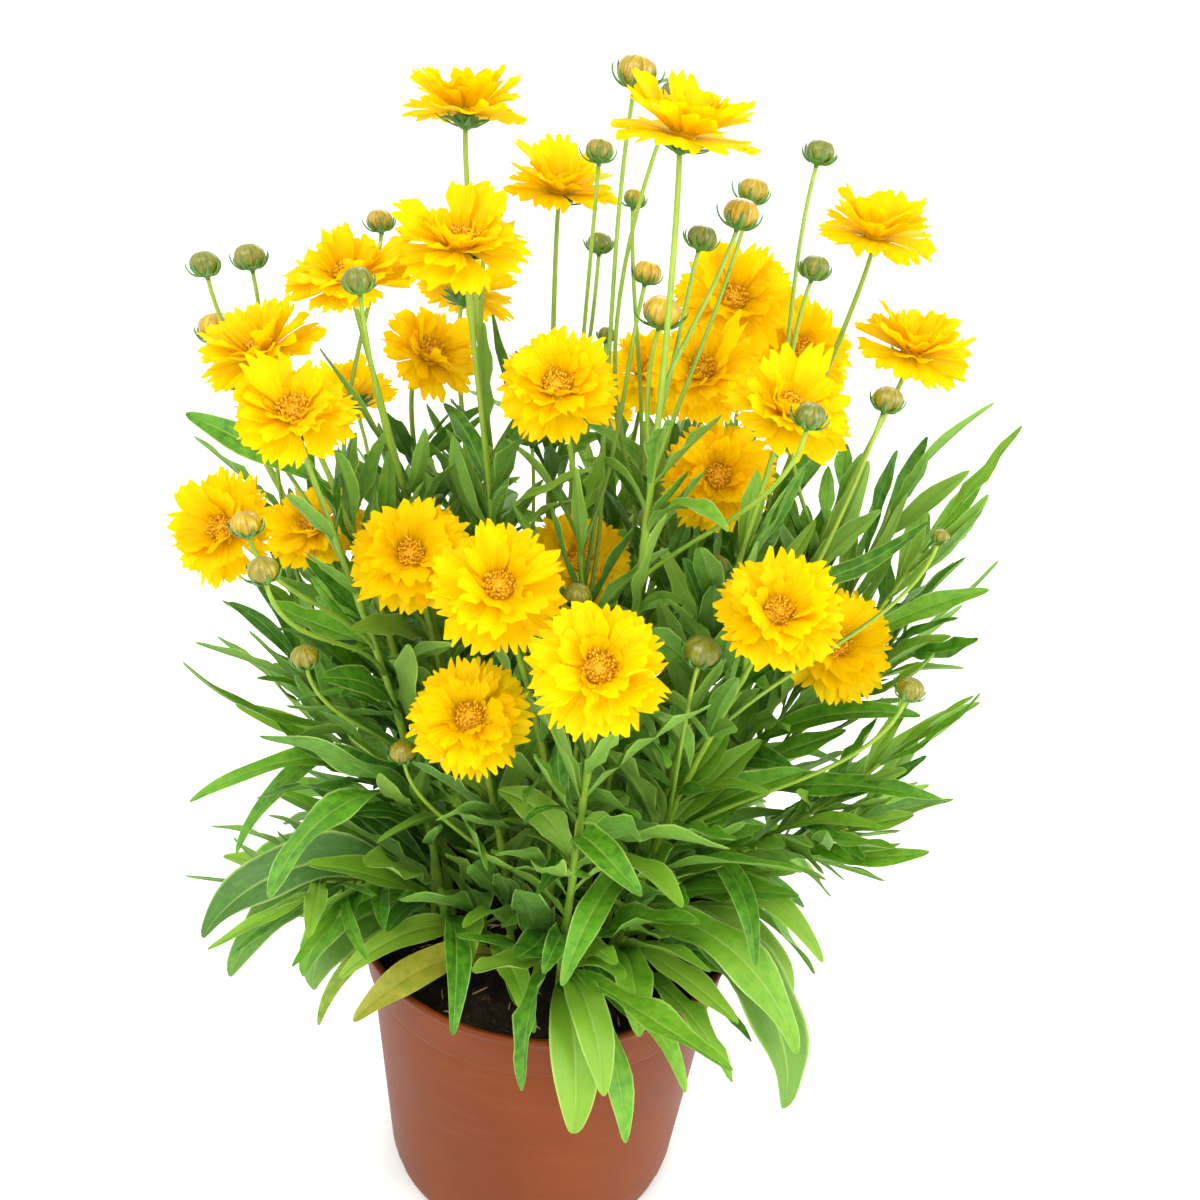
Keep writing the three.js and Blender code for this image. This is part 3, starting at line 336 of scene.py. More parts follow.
def is_route_clear(curve, steps, radius, owner, b):
    for ball in path_balls(curve, steps, radius):
        skip = []
        if size(sub(ball, curve[0])) < FORK_REACH:
            skip.append(owner)
        if size(sub(ball, curve[3])) < HEAD_REACH:
            skip.append(bloom_owner(b))
        if not room.is_ball_clear(ball, skip):
            return False
    return True


def bloom_facing(b):
    return heading(*BLOOMS[b - 1][1])


def bloom_balls(b):
    at, _, across = BLOOMS[b - 1]
    axis = bloom_facing(b)
    u, v = square(axis)
    radius = across / 2
    rings = (
        (0, 4, 1, 7),
        (0.4 * radius, 2.5, 6, 5.5),
        (0.68 * radius, 4.2, 10, 5.5),
        (0.95 * radius, 5.6, 14, 5.5),
        (0.42 * radius, 10, 6, 5.5),
    )
    balls = []
    for ring, height, count, ball in rings:
        for i in range(count):
            angle = full_turn(i, count)
            side = add(scale(u, ring * math.cos(angle)), v, ring * math.sin(angle))
            balls.append((*add(add(at, axis, height), side), ball))
    return balls


# ---- Where the stems, branches and leaves go -----------------------------------------------------

STEM_TRIES = 120
BRANCH_TRIES = 10
LEAF_TRIES = 36
OUTER = 36  # stems that stand this far out carry basal leaves and shoots
SPREAD = SimpleNamespace(middle=(2, 18), radius=188)  # how far out the leaf tips may be
FRONT = (-80, 84)  # azimuths where the low leaves are given one by one, and the others stand
TURN_TO_FRONT = -0.45  # how far those roll for each degree of azimuth, to face the front
CROWN_ROUNDS = 60  # of pushing the stems' feet apart

# The paths of stems, branches and side shoots. sway is how much more a path strays with each try,
# rise how far up its first handle is, and neck how far before its end the last one is.
STEM_PATH = SimpleNamespace(sway=0.45, aside=0.12, rise=0.42, neck=38, neck_sway=0.4)
BRANCH_PATH = SimpleNamespace(
    forks=(0.3, 0.66), sway=2, lean=0.2, rise=0.3, neck=0.3, neck_sway=0.5,
    least_rise=45, most_aside=1.1,
)
SHOOT_PATH = SimpleNamespace(
    forks=(0.08, 0.26), sway=6, more_sway=2, flatter=6, rise=0.38, steeper=8, steepest=84, neck=0.3,
)


def crown_feet():
    """Feet of the stems: drawn in towards the crown from the heads, then pushed apart."""
    feet = []
    for b in STEMS:
        x, y, _ = BLOOMS[b - 1][0]
        out = math.hypot(x, y) * CROWN.spread
        k = (CROWN.spread * CROWN.radius) / max(CROWN.radius, out)
        feet.append((x * k, y * k))
    for _ in range(CROWN_ROUNDS):
        for i in range(len(feet)):
            for j in range(i + 1, len(feet)):
                a, b = feet[i], feet[j]
                apart = math.hypot(a[0] - b[0], a[1] - b[1]) or 1
                if apart >= CROWN.spacing:
                    continue
                push = 0.5 * (CROWN.spacing - apart) / apart
                dx, dy = (a[0] - b[0]) * push, (a[1] - b[1]) * push
                feet[i] = (a[0] + dx, a[1] + dy)
                feet[j] = (b[0] - dx, b[1] - dy)
        for i, (x, y) in enumerate(feet):
            k = min(1, CROWN.radius / math.hypot(x, y))
            feet[i] = (x * k, y * k)
    return feet


def first_that_fits(tries, make, fits):
    """The first of the tries that fits, and whether one did."""
    made = None
    for attempt in range(tries):
        made = make(attempt)
        if fits(made):
            return made, True
    return made, False


def grow_stem(i, foot, b):
    head = add(BLOOMS[b - 1][0], bloom_facing(b), -CALYX.height)
    tall = head[2] - SOIL.level

    def make(attempt):
        sway = STEM_PATH.sway * attempt
        lean = (between(-sway, sway, i, attempt, 1), between(-sway, sway, i, attempt, 2), 0)
        aside = [mix(low, high, STEM_PATH.aside) for low, high in zip(foot, head)]
        first = (*aside, SOIL.level + STEM_PATH.rise * tall)
        last = add(add(head, bloom_facing(b), -STEM_PATH.neck), lean, STEM_PATH.neck_sway)
        return ((*foot, SOIL.level), add(first, lean), last, head)

    return first_that_fits(
        STEM_TRIES, make, lambda curve: is_route_clear(curve, STEM.steps, STEM_BALL, i, b)
    )[0]


def grow_branch(stems, draws, end, facing, b):
    """A side branch to an end that faces some way, from the nearest stem that lets it through."""

    def away(i):
        middle = bezier(stems[i].curve, 0.6)
        return math.hypot(middle[0] - end[0], middle[1] - end[1])

    for i in sorted(range(len(stems)), key=away):
        main = stems[i].curve

        def make(attempt, i=i, main=main):
            fork_at = between(*BRANCH_PATH.forks, i, draws, attempt + 300)
            fork = on_stem(main, STEM.steps, fork_at)
            sway = BRANCH_PATH.sway + BRANCH_PATH.sway * attempt
            x = between(-sway, sway, i, draws, attempt + 400)
            y = between(-sway, sway, i, draws, attempt + 500)
            far = size(sub(end, fork))
            aside = math.hypot(end[0] - fork[0], end[1] - fork[1]) + 1
            lean = BRANCH_PATH.lean * far / aside
            over = (lean * (end[0] - fork[0]) + x, lean * (end[1] - fork[1]) + y)
            first = add(fork, (*over, BRANCH_PATH.rise * far))
            neck = add(end, facing, -BRANCH_PATH.neck * far)
            last = add(neck, (x, y, 0), BRANCH_PATH.neck_sway)
            curve = (fork, first, last, end)
            return SimpleNamespace(curve=curve, stem=i, b=b, fork_at=fork_at, bud_size=0)

        def fits(branch, i=i):
            fork = branch.curve[0]
            rise = end[2] - fork[2]
            aside = math.hypot(end[0] - fork[0], end[1] - fork[1])
            return (
                rise > BRANCH_PATH.least_rise
                and aside < BRANCH_PATH.most_aside * rise
                and is_route_clear(branch.curve, STEM.branch_steps, BRANCH_BALL, i, b)
            )

        branch, found = first_that_fits(BRANCH_TRIES, make, fits)
        if found:
            return branch
    return None


# A leaf is given by where it starts, its azimuth there and its sweep, its elevation there (rise)
# and at its tip (fall), its roll, its length and its width.


def leaf_way(leaf, t):
    return heading(leaf.azimuth + leaf.sweep * t, mix(leaf.rise, leaf.fall, t))


MIDRIB_STEPS = 12


def leaf_midrib(leaf, t):
    at = leaf.start
    for k in range(MIDRIB_STEPS):
        at = add(at, leaf_way(leaf, t * (k + 0.5) / MIDRIB_STEPS), leaf.long * t / MIDRIB_STEPS)
    return at


LEAF_FULLNESS = 1.15  # how slowly a blade widens from its foot
LEAF_BLUNTNESS = 0.55  # how round its tip is: less is blunter
LEAF_WIDEST = LEAF_FULLNESS / (LEAF_FULLNESS + LEAF_BLUNTNESS)
LEAF_MARGIN = 1.6  # how far its balls' middles stay inside its edge
LEAF_END = 0.97  # its balls are no narrower than here


def leaf_half(leaf, t):
    """Half the width along a leaf, from its narrow foot to its blunt tip."""
    swell = (t / LEAF_WIDEST) ** LEAF_FULLNESS * ((1 - t) / (1 - LEAF_WIDEST)) ** LEAF_BLUNTNESS
    return 0.5 * leaf.wide * max(leaf.foot * (1 - t), swell)


def leaf_side(leaf, t):
    """The way across the blade, level but for the leaf's roll about its midrib."""
    a = math.radians(leaf.azimuth + leaf.sweep * t)
    level = (math.cos(a), math.sin(a), 0)
    below = cross(level, leaf_way(leaf, t))
    roll = math.radians(leaf.roll)
    return add(scale(level, math.cos(roll)), below, math.sin(roll))


def leaf_balls(leaf, low, high, radius):
    rows = math.ceil(leaf.long / BALL_STEP)
    balls = []
    for k in range(1, rows + 1):
        t = k / rows
        if t < low or t > high:
            continue
        free = max(0, leaf_half(leaf, min(t, LEAF_END)) - LEAF_MARGIN)
        mid = leaf_midrib(leaf, t)
        side = leaf_side(leaf, t)
        across = math.ceil(2 * free / BALL_STEP)
        for j in range(across + 1):
            place = free * (2 * j / across - 1) if across else 0
            balls.append((*add(mid, side, place), radius))
    return balls


# With each try a leaf may turn this much more, in degrees, and is this share shorter.
TRY = SimpleNamespace(turn=2, rise=0.5, fall=0.6, shorter=0.008)


def grow_leaf(i, draws, plan, radius=LEAF_BALL, fits_too=lambda tip: True):
    """Tries a leaf with other azimuths and elevations until it is clear, or gives it up."""

    def make(attempt):
        turn = plan["loose"] + attempt * TRY.turn
        leaf = SimpleNamespace(**plan)
        leaf.azimuth += between(-turn, turn, i, draws, attempt + 600)
        leaf.rise += between(-turn, turn, i, draws, attempt + 700) * TRY.rise
        leaf.fall += between(-turn, turn, i, draws, attempt + 800) * TRY.fall
        leaf.roll = leaf.faces + between(-leaf.tilt, leaf.tilt, i, draws, attempt + 1000)
        leaf.sweep += between(-leaf.curl, leaf.curl, i, draws, attempt + 900)
        leaf.long *= 1 - TRY.shorter * attempt
        return leaf

    def fits(leaf):
        tip = leaf_midrib(leaf, 1)
        out = math.hypot(tip[0] - SPREAD.middle[0], tip[1] - SPREAD.middle[1])
        if out > SPREAD.radius or not fits_too(tip):
            return False
        low = leaf_balls(leaf, LEAF_ROOT, LEAF_FREE, radius)
        high = leaf_balls(leaf, LEAF_FREE, 1, radius)
        return all(map(is_off_pot, low + high)) and room.is_clear(low, (i,)) and room.is_clear(high)

    leaf, found = first_that_fits(LEAF_TRIES, make, fits)
    if not found:
        return []
    room.take(leaf_balls(leaf, LEAF_ROOT, 1, radius), i)
    return [leaf]


def leaf_plan(curve, steps, t, **sizes):
    """A leaf that starts at a place on its stem. At first it may be off its plan by "loose", sweep
    aside by "curl", and be off its roll, "faces", by "tilt". "age" is how yellow it has gone."""
    usual = dict(loose=6, sweep=0, curl=24, faces=0, age=0.0)
    return dict(start=on_stem(curve, steps, t), at=t) | usual | sizes


def is_outer(curve):
    return math.hypot(curve[0][0], curve[0][1]) > OUTER


def stem_leaves(i, curve):
    """Opposite pairs of leaves, each pair turned from the one below, smaller and more upright."""
    outward = azimuth_of(curve[3])
    lowest = 0.22 if is_outer(curve) else 0.15
    leaves = []
    for pair, place in enumerate((lowest, 0.36, 0.53)):
        t = place + between(-0.04, 0.04, i, pair, 11)
        turn = outward + 62 * pair + between(-30, 30, i, pair, 12)
        for half in (0, 180):
            plan = leaf_plan(
                curve, STEM.steps, t,
                azimuth=turn + half,
                rise=between(40, 64, i, pair + half, 13) + 26 * t,
                fall=between(-36, 30, i, pair + half, 14) + 80 * t,
                tilt=48,
                long=mix(104, 62, t * 1.6) * between(0.8, 1.12, i, pair + half, 15),
                wide=mix(20, 11, t * 1.6) * between(0.85, 1.15, i, pair + half, 16),
                foot=0.2,
                root=1.3,
            )
            leaves += grow_leaf(i, 20 + pair + half, plan)
    return leaves


def arch_to(start, tip, arch):
    """The azimuth, rise, fall and length of a leaf that arches from one place to another."""
    chord = sub(tip, start)
    slope = math.degrees(math.asin(chord[2] / size(chord)))
    bend = math.radians(arch)
    return dict(
        azimuth=azimuth_of(chord), rise=slope + arch, fall=slope - arch,
        long=size(chord) * bend / math.sin(bend),
    )


def placed_leaves(stems):
    """The leaves that have a place of their own, each from the stem that it names."""
    for k, (i, at, tip, arch, wide, age) in enumerate(PLACED_LEAVES):
        shape = arch_to(on_stem(stems[i].curve, STEM.steps, at), tip, arch)
        plan = leaf_plan(
            stems[i].curve, STEM.steps, at,
            **shape, wide=wide, age=age, faces=TURN_TO_FRONT * shape["azimuth"],
            loose=0, curl=0, tilt=8, foot=0.16, root=1.5,
        )
        stems[i].leaves += grow_leaf(i, 150 + k, plan)


def basal_leaves(i, curve):
    """Large leaves low on each outer stem. Those at the front, and the last ones, stand up, and the
    others arch over the rim."""
    if not is_outer(curve):
        return []
    outward = azimuth_of(curve[0])
    leaves = []
    for k, turn in enumerate((-20, 22, 2)):
        azimuth = outward + turn + between(-8, 8, i, k, 22)
        stands = k == 2 or FRONT[0] < azimuth < FRONT[1]
        plan = leaf_plan(
            curve, STEM.steps, 0.06 + 0.03 * k,
            azimuth=azimuth,
            rise=between(36, 66, i, k, 23) if stands else between(32, 52, i, k, 23),
            fall=between(-12, 40, i, k, 24) if stands else between(-84, -46, i, k, 24),
            tilt=22,
            long=between(76, 104, i, k, 25) if stands else between(98, 132, i, k, 25),
            wide=between(14, 24, i, k, 21) if stands else between(19, 28, i, k, 21),
            foot=0.16,
            root=1.5,
        )
        leaves += grow_leaf(i, 40 + k, plan)
    return leaves


SHOOT_LEAVES = ((0.46, -42), (0.68, 38), (0.99, 0))  # how far along, and how far aside they point


def shoot_from(i, k, main, end, way, attempt):
    """A side shoot's curve from a stem to its end, and its rise."""
    fork_at = between(*SHOOT_PATH.forks, i, k, attempt + 1100)
    start = on_stem(main, STEM.steps, fork_at)
    far = size(sub(end, start))
    rise = math.degrees(math.asin((end[2] - start[2]) / far))
    sway = SHOOT_PATH.sway + SHOOT_PATH.more_sway * attempt
    aside = way + between(-sway, sway, i, k, attempt + 1200)
    first = add(start, heading(aside, rise - SHOOT_PATH.flatter), SHOOT_PATH.rise * far)
    steep = min(rise + SHOOT_PATH.steeper, SHOOT_PATH.steepest)
    last = add(end, heading(way, steep), -SHOOT_PATH.neck * far)
    return SimpleNamespace(curve=(start, first, last, end), rise=rise, fork_at=fork_at)


def grow_shoot(stems, k, end):
    """A side shoot without a flower, from the nearest outer stem that lets it through: a thin stem
    with narrow leaves along it and one that goes on from its end."""
    way = azimuth_of(end)
    order = [i for i, stem in enumerate(stems) if is_outer(stem.curve)]
    order.sort(key=lambda i: abs(azimuth_of(stems[i].curve[0]) - way))
    for i in order:
        shoot, found = first_that_fits(
            BRANCH_TRIES,
            lambda attempt, i=i: shoot_from(i, k, stems[i].curve, end, way, attempt),
            lambda made, i=i: is_route_clear(made.curve, STEM.branch_steps, BRANCH_BALL, i, 0),
        )
        if not found:
            continue
        room.take(path_balls(shoot.curve, STEM.branch_steps, BRANCH_BALL), i)
        shoot.leaves = []
        for n, (t, turn) in enumerate(SHOOT_LEAVES):
            plan = leaf_plan(
                shoot.curve, STEM.branch_steps, t,
                azimuth=way + turn + between(-8, 8, k, n, 35),
                rise=min(80, shoot.rise + between(-10, 14, k, n, 36)),
                fall=shoot.rise - between(-6, 34, k, n, 37),
                curl=12,
                tilt=60,
                long=between(50, 78, k, n, 38),
                wide=between(6, 10, k, n, 39),
                foot=0.26,
                root=0.9,
            )
            shoot.leaves += grow_leaf(i, 300 + 10 * k + n, plan)
        stems[i].shoots.append(shoot)
        return


# ---- Leaves that only this script adds, which fill the mound between the larger ones -------------

FILL_BALL = 1.3
FILL_LEAVES = 27  # tried on each stem
FILL_LEAVES_LOW = 7  # tried at the foot of each stem
SOIL_SEEN = (-78, 24)  # azimuths where the low ones stand up, so that the soil shows between them
TUFTS = 5  # pairs of small leaves on each stem
SHOOT_FILL = 18  # leaves tried along each side shoot
BOX_EDGE = 6
LEAF_TOP = 400  # above this the stems are bare


def is_in_box(tip):
    """Whether a leaf's tip stays inside the solids' box, and below the bare part of the stems."""
    low, high = (tuple(1000 * x for x in corner) for corner in CAD_BOX)
    inside = all(low[n] + BOX_EDGE < tip[n] < high[n] - BOX_EDGE for n in range(3))
    return inside and tip[2] < LEAF_TOP


def fill_in(i, first, plans):
    """The leaves of stem i that find room, of those planned. first tells their draws apart."""
    leaves = []
    for k, plan in enumerate(plans):
        leaves += grow_leaf(i, first + k, plan, FILL_BALL, is_in_box)
    return leaves


def fill_plan(i, curve, k):
    """Leaves all the way up a stem, narrower and more upright towards its top."""
    t = between(0.06, 0.76, i, k, 61)
    upright = float(smooth_step(0.3, 0.6, t))
    return leaf_plan(
        curve, STEM.steps, t,
        azimuth=azimuth_of(curve[3]) + 137.5 * k + between(-40, 40, i, k, 62),
        rise=mix(between(24, 78, i, k, 63), between(56, 84, i, k, 63), upright),
        fall=mix(between(-60, 66, i, k, 64), between(40, 86, i, k, 64), upright),
        tilt=64,
        curl=mix(60, 24, upright),
        long=mix(98, 58, t * 1.3) * between(0.62, 1.12, i, k, 65),
        wide=mix(19, 9, t * 1.3) * between(0.62, 1.15, i, k, 66),
        foot=0.2,
        root=1.1,
    )


def low_plan(i, curve, k):
    """Broad leaves round the foot of a stem."""
    azimuth = azimuth_of(curve[0]) + between(-75, 75, i, k, 72)
    stands = SOIL_SEEN[0] < azimuth < SOIL_SEEN[1]
    return leaf_plan(
        curve, STEM.steps, between(0.02, 0.14, i, k, 71),
        azimuth=azimuth,
        rise=between(20, 60, i, k, 73) + 20 * stands,
        fall=between(0, 40, i, k, 74) if stands else between(-60, 20, i, k, 74),
        tilt=34,
        curl=40,
        long=between(58, 84, i, k, 75) if stands else between(68, 112, i, k, 75),
        wide=between(13, 23, i, k, 76),
        foot=0.18,
        root=1.3,
    )


def shoot_plan(shoot, k, n):
    """Narrow leaves in pairs along a side shoot, close to it."""
    t = 0.3 + 0.68 * (n // 2 + draw(k, n, 91)) / (SHOOT_FILL // 2)
    way = azimuth_of(shoot.curve[3])
    return leaf_plan(
        shoot.curve, STEM.branch_steps, min(t, 0.99),
        azimuth=way + (1 if n % 2 else -1) * between(12, 70, k, n, 92),
        rise=min(82, shoot.rise + between(-16, 22, k, n, 93)),
        fall=shoot.rise - between(-14, 40, k, n, 94),
        tilt=60,
        long=between(38, 78, k, n, 95),
        wide=between(5.5, 12, k, n, 96),
        foot=0.26,
        root=0.8,
    )


def tuft_plan(i, curve, k):
    """Pairs of small narrow leaves, where short side shoots begin."""
    return leaf_plan(
        curve, STEM.steps, between(0.12, 0.6, i, k // 2, 81),
        azimuth=360 * draw(i, k // 2, 82) + 180 * (k % 2) + between(-50, 50, i, k, 83),
        rise=between(40, 80, i, k, 84),
        fall=between(-20, 60, i, k, 85),
        tilt=70,
        curl=70,
        long=between(22, 46, i, k, 86),
        wide=between(4, 8, i, k, 87),
        foot=0.34,
        root=0.9,
    )


def grow_plant():
    for b in range(1, len(BLOOMS) + 1):
        room.take(bloom_balls(b), bloom_owner(b))
    for k, (x, y, z, across) in enumerate(BUDS):
        room.take([(x, y, z, 0.7 * across)], bloom_owner(BUD_AS_BLOOM + k))
    stems = []
    for i, (b, foot) in enumerate(zip(STEMS, crown_feet())):
        curve = grow_stem(i, foot, b)
        room.take(path_balls(curve, STEM.steps, STEM_BALL), i)
        stems.append(SimpleNamespace(b=b, curve=curve, branches=[], leaves=[], shoots=[]))

    def add_branch(draws, end, facing, b, **extra):
        branch = grow_branch(stems, draws, end, facing, b)
        if branch is None:
            return
        room.take(path_balls(branch.curve, STEM.branch_steps, BRANCH_BALL), branch.stem)
        branch.__dict__.update(extra)
        stems[branch.stem].branches.append(branch)

    for b in SIDE_BLOOMS:
        facing = bloom_facing(b)
        add_branch(69 + b, add(BLOOMS[b - 1][0], facing, -CALYX.height), facing, b)
    for k, bud in enumerate(BUDS):
        tilt = heading(azimuth_of(bud), 80)
        grown = dict(bud_size=bud[3], tilt=tilt, number=k)
        add_branch(110 + k, add(bud, tilt, -0.5 * bud[3]), tilt, BUD_AS_BLOOM + k, **grown)
    placed_leaves(stems)
    for k, end in enumerate(SHOOTS):
        grow_shoot(stems, k, end)
    for i, stem in enumerate(stems):
        stem.leaves += basal_leaves(i, stem.curve)
    for i, stem in enumerate(stems):
        stem.leaves += stem_leaves(i, stem.curve)
    for i, stem in enumerate(stems):
        for k, shoot in enumerate(stem.shoots, 10 * i):
            shoot.leaves += fill_in(
                i, 500 + 20 * k, [shoot_plan(shoot, k, n) for n in range(SHOOT_FILL)]
            )
    for i, stem in enumerate(stems):
        low = [low_plan(i, stem.curve, k) for k in range(FILL_LEAVES_LOW)]
        stem.leaves += fill_in(i, 240, low)
        high = [fill_plan(i, stem.curve, k) for k in range(FILL_LEAVES)]
        stem.leaves += fill_in(i, 200, high)
    for i, stem in enumerate(stems):
        small = [tuft_plan(i, stem.curve, k) for k in range(2 * TUFTS)]
        stem.leaves += fill_in(i, 260, small)
    return stems


# ---- Skins: points and faces, with what the materials read of them -------------------------------


def grid(number):
    """Quads over rows of point numbers. They face the way that rows x columns gives."""
    quads = [number[:-1, :-1], number[1:, :-1], number[1:, 1:], number[:-1, 1:]]
    return np.stack(quads, -1).reshape(-1, 4)


def smooth_step(low, high, x):
    t = np.clip((x - low) / (high - low), 0, 1)
    return t * t * (3 - 2 * t)


def unit_rows(a):
    return a / np.linalg.norm(a, axis=-1, keepdims=True)


class Skin:
    """One piece as it is gathered. "place" is where on its blade, stem or head a point is, and
    "look" holds draws that are the same all over that blade, stem or head."""

    def __init__(self):
        self.points, self.faces, self.slots = [], [], []
        self.place, self.look, self.sharp = [], [], []
        self.count = 0

    def add(self, points, faces, slot, place, look, sharp=None):
        for block in faces:
            self.faces += (block + self.count).tolist()
            self.slots += [slot] * len(block)
        if sharp is not None:
            self.sharp.append(sharp + self.count)
        self.points.append(points)
        self.place.append(place)
        self.look.append(np.tile(look, (len(points), 1)))
        self.count += len(points)

    def build(self, name, materials):
        mesh = bpy.data.meshes.new(name)
        mesh.from_pydata(np.concatenate(self.points) * MM, [], self.faces)
        for material in materials:
            mesh.materials.append(material)
        mesh.polygons.foreach_set("material_index", self.slots)
        mesh.shade_smooth()
        for key, parts in (("place", self.place), ("look", self.look)):
            made = mesh.attributes.new(key, "FLOAT_VECTOR", "POINT")
            made.data.foreach_set("vector", np.concatenate(parts).astype(np.float32).ravel())
        if self.sharp:
            self.mark_sharp(mesh)
        piece = bpy.data.objects.new(name, mesh)
        bpy.context.scene.collection.objects.link(piece)
        return piece

    def mark_sharp(self, mesh):
        ends = np.empty(2 * len(mesh.edges), np.int64)
        mesh.edges.foreach_get("vertices", ends)
        ends = np.sort(ends.reshape(-1, 2), 1)
        wanted = np.sort(np.concatenate(self.sharp), 1)
        edges, marked = (pairs[:, 0] * self.count + pairs[:, 1] for pairs in (ends, wanted))
        made = mesh.attributes.new("sharp_edge", "BOOLEAN", "EDGE")
        made.data.foreach_set("value", np.isin(edges, marked))


def stand_for(piece, node):
    """The piece takes a CAD node's place on the one body."""
    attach(piece, "root")
    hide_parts(node)


def add_blade(skin, tops, overs, thick, slot, place, look):
    """A thin closed blade. tops is its upper face as rows of points and overs the way out of it.
    The lower face lies thick below, and meets the upper one in a line all round."""
    rows, columns = tops.shape[:2]
    inner = np.zeros((rows, columns), bool)
    inner[1:-1, 1:-1] = True
    number = np.arange(rows * columns).reshape(rows, columns)
    under = number.copy()
    under[inner] = rows * columns + np.arange(inner.sum())
    points = np.concatenate([tops.reshape(-1, 3), (tops - overs * thick[..., None])[inner]])
    upper = np.concatenate([place, np.zeros((rows, columns, 1))], -1)
    lower = np.concatenate([place, np.ones((rows, columns, 1))], -1)
    rim = np.concatenate([number[0], number[1:, -1], number[-1, -2::-1], number[-2:0:-1, 0]])
    skin.add(
        points,
        [grid(number), grid(under)[:, ::-1]],
        slot,
        np.concatenate([upper.reshape(-1, 3), lower[inner]]),
        look,
        np.stack([rim, np.roll(rim, -1)], 1),
    )


def add_rings(skin, rings, slot, look):
    """A closed skin through rings of points that turn leftwards about the way that they follow."""
    rows, sides = rings.shape[:2]
    number = np.arange(rows * sides).reshape(rows, sides)
    wrapped = np.concatenate([number, number[:, :1]], 1)
    low, high = rows * sides, rows * sides + 1
    points = np.concatenate([rings.reshape(-1, 3), [rings[0].mean(0), rings[-1].mean(0)]])
    first, last = wrapped[0], wrapped[-1]
    caps = [
        np.stack([np.full(sides, low), first[1:], first[:-1]], 1),
        np.stack([np.full(sides, high), last[:-1], last[1:]], 1),
    ]
    along = np.repeat(np.linspace(0, 1, rows), sides)
    around = np.tile(np.linspace(0, 1, sides, endpoint=False), rows)
    place = np.stack([along, around, np.zeros(rows * sides)], 1)
    place = np.concatenate([place, [[0, 0, 0], [1, 0, 0]]])
    skin.add(points, [grid(wrapped)[:, ::-1], *caps], slot, place, look)


def add_tube(skin, centres, radii, sides, slot, look, ridge=0.0):
    """A round stem through centres. With ridge, every other corner stands out by that share."""
    centres = np.array(centres, float)
    ways = unit_rows(np.gradient(centres, axis=0))
    u = np.array(square(tuple(ways[0]))[0])
    turns = even_turns(sides)
    out = 1 + ridge * np.cos(np.pi * np.arange(sides))
    rings = []
    for centre, way, radius in zip(centres, ways, radii):
        w = np.cross(way, u)
        w /= np.linalg.norm(w)
        u = np.cross(w, way)
        around = np.outer(np.cos(turns) * out, u) + np.outer(np.sin(turns) * out, w)
        rings.append(centre + radius * around)
    add_rings(skin, np.array(rings), slot, look)


def add_turned(skin, head, profile, sides, slot, look, dent=lambda turn, height: 1.0):
    """A closed form turned about a head's axis, from (radius, height) pairs."""
    turns = even_turns(sides)
    rings = []
    for radius, height in profile:
        reach = radius * dent(turns, height) * np.ones(sides)
        local = np.stack([reach * np.cos(turns), reach * np.sin(turns), np.full(sides, height)], 1)
        rings.append(head.place(local))
    add_rings(skin, np.array(rings), slot, look)


class Head:
    """Where a bloom or a bud sits: its own axes, and the way from them to the plant's."""

    def __init__(self, at, axis):
        u, v = square(axis)
        self.at = np.array(at, float)
        self.axes = np.array([u, v, axis])

    def place(self, local):
        return self.at + local @ self.axes

    def turn(self, local):
        return local @ self.axes


# ---- Rays: petals and bracts, blades that leave a head's axis ------------------------------------

RAY_STEPS = 24


def ray_path(long, lift, bend):
    """How far out and up a ray's midline gets along its length, as two tables, and its slope."""
    along = np.linspace(0, 1, RAY_STEPS)
    slope = np.radians(lift + bend * along)
    step = long / (RAY_STEPS - 1)
    out = np.concatenate([[0], np.cumsum(np.cos(slope[:-1]) * step)])
    up = np.concatenate([[0], np.cumsum(np.sin(slope[:-1]) * step)])
    return along, out, up, slope


def add_ray(
    skin, head, angle, start, long, lift, bend, reach, width, height, thick, slot, look, twist=0.0
):
    """A blade that leaves a head at an angle. start is (radius, height). reach says how far along
    the midline each of its points is, width how far aside, and height how far over it, as rows."""
    along, out_table, up_table, slope_table = ray_path(long, lift, bend)
    out = start[0] + np.interp(reach, along, out_table)
    up = start[1] + np.interp(reach, along, up_table)
    slope = np.interp(reach, along, slope_table)
    turned = np.radians(twist) * reach
    outward = np.array([math.cos(angle), math.sin(angle), 0])
    side = np.array([-math.sin(angle), math.cos(angle), 0])
    top = np.array([0, 0, 1.0])
    over = np.cos(slope)[..., None] * top - np.sin(slope)[..., None] * outward
    across = np.cos(turned)[..., None] * side + np.sin(turned)[..., None] * over
    over = np.cos(turned)[..., None] * over - np.sin(turned)[..., None] * side
    mid = out[..., None] * outward + up[..., None] * top
    local = mid + across * width[..., None] + over * height[..., None]
    rows, columns = reach.shape
    place = np.stack([reach, np.tile(np.linspace(-1, 1, columns), (rows, 1))], -1)
    thickness = np.full((rows, columns), thick)
    add_blade(skin, head.place(local), head.turn(over), thickness, slot, place, look)


# Material slots of a leafy stem's piece and of a bloom's piece.
LEAF_SLOT, STALK_SLOT, BRACT_SLOT, BUD_SLOT = range(4)
PETAL_SLOT, DISC_SLOT, ANTHER_SLOT = range(3)

PETAL_ROWS = np.array([0, 0.2, 0.42, 0.62, 0.78, 0.9, 1.0])
PETAL_THICK = 0.3
LOBE_SHOULDERS = (0.34, 0.68)  # where each lobe of a petal's end is widest, from notch to notch
# How deep the notches and the lobes' tips lie below a petal's end, in its length, and how far a
# notch strays aside and a lobe leans.
NOTCH_DEPTH = (0.1, 0.25)
CORNER_DEPTH = 0.2
LOBE_DEPTH = (0.0, 0.13)
NOTCH_SHIFT = 0.42
LOBE_LEAN = 0.04


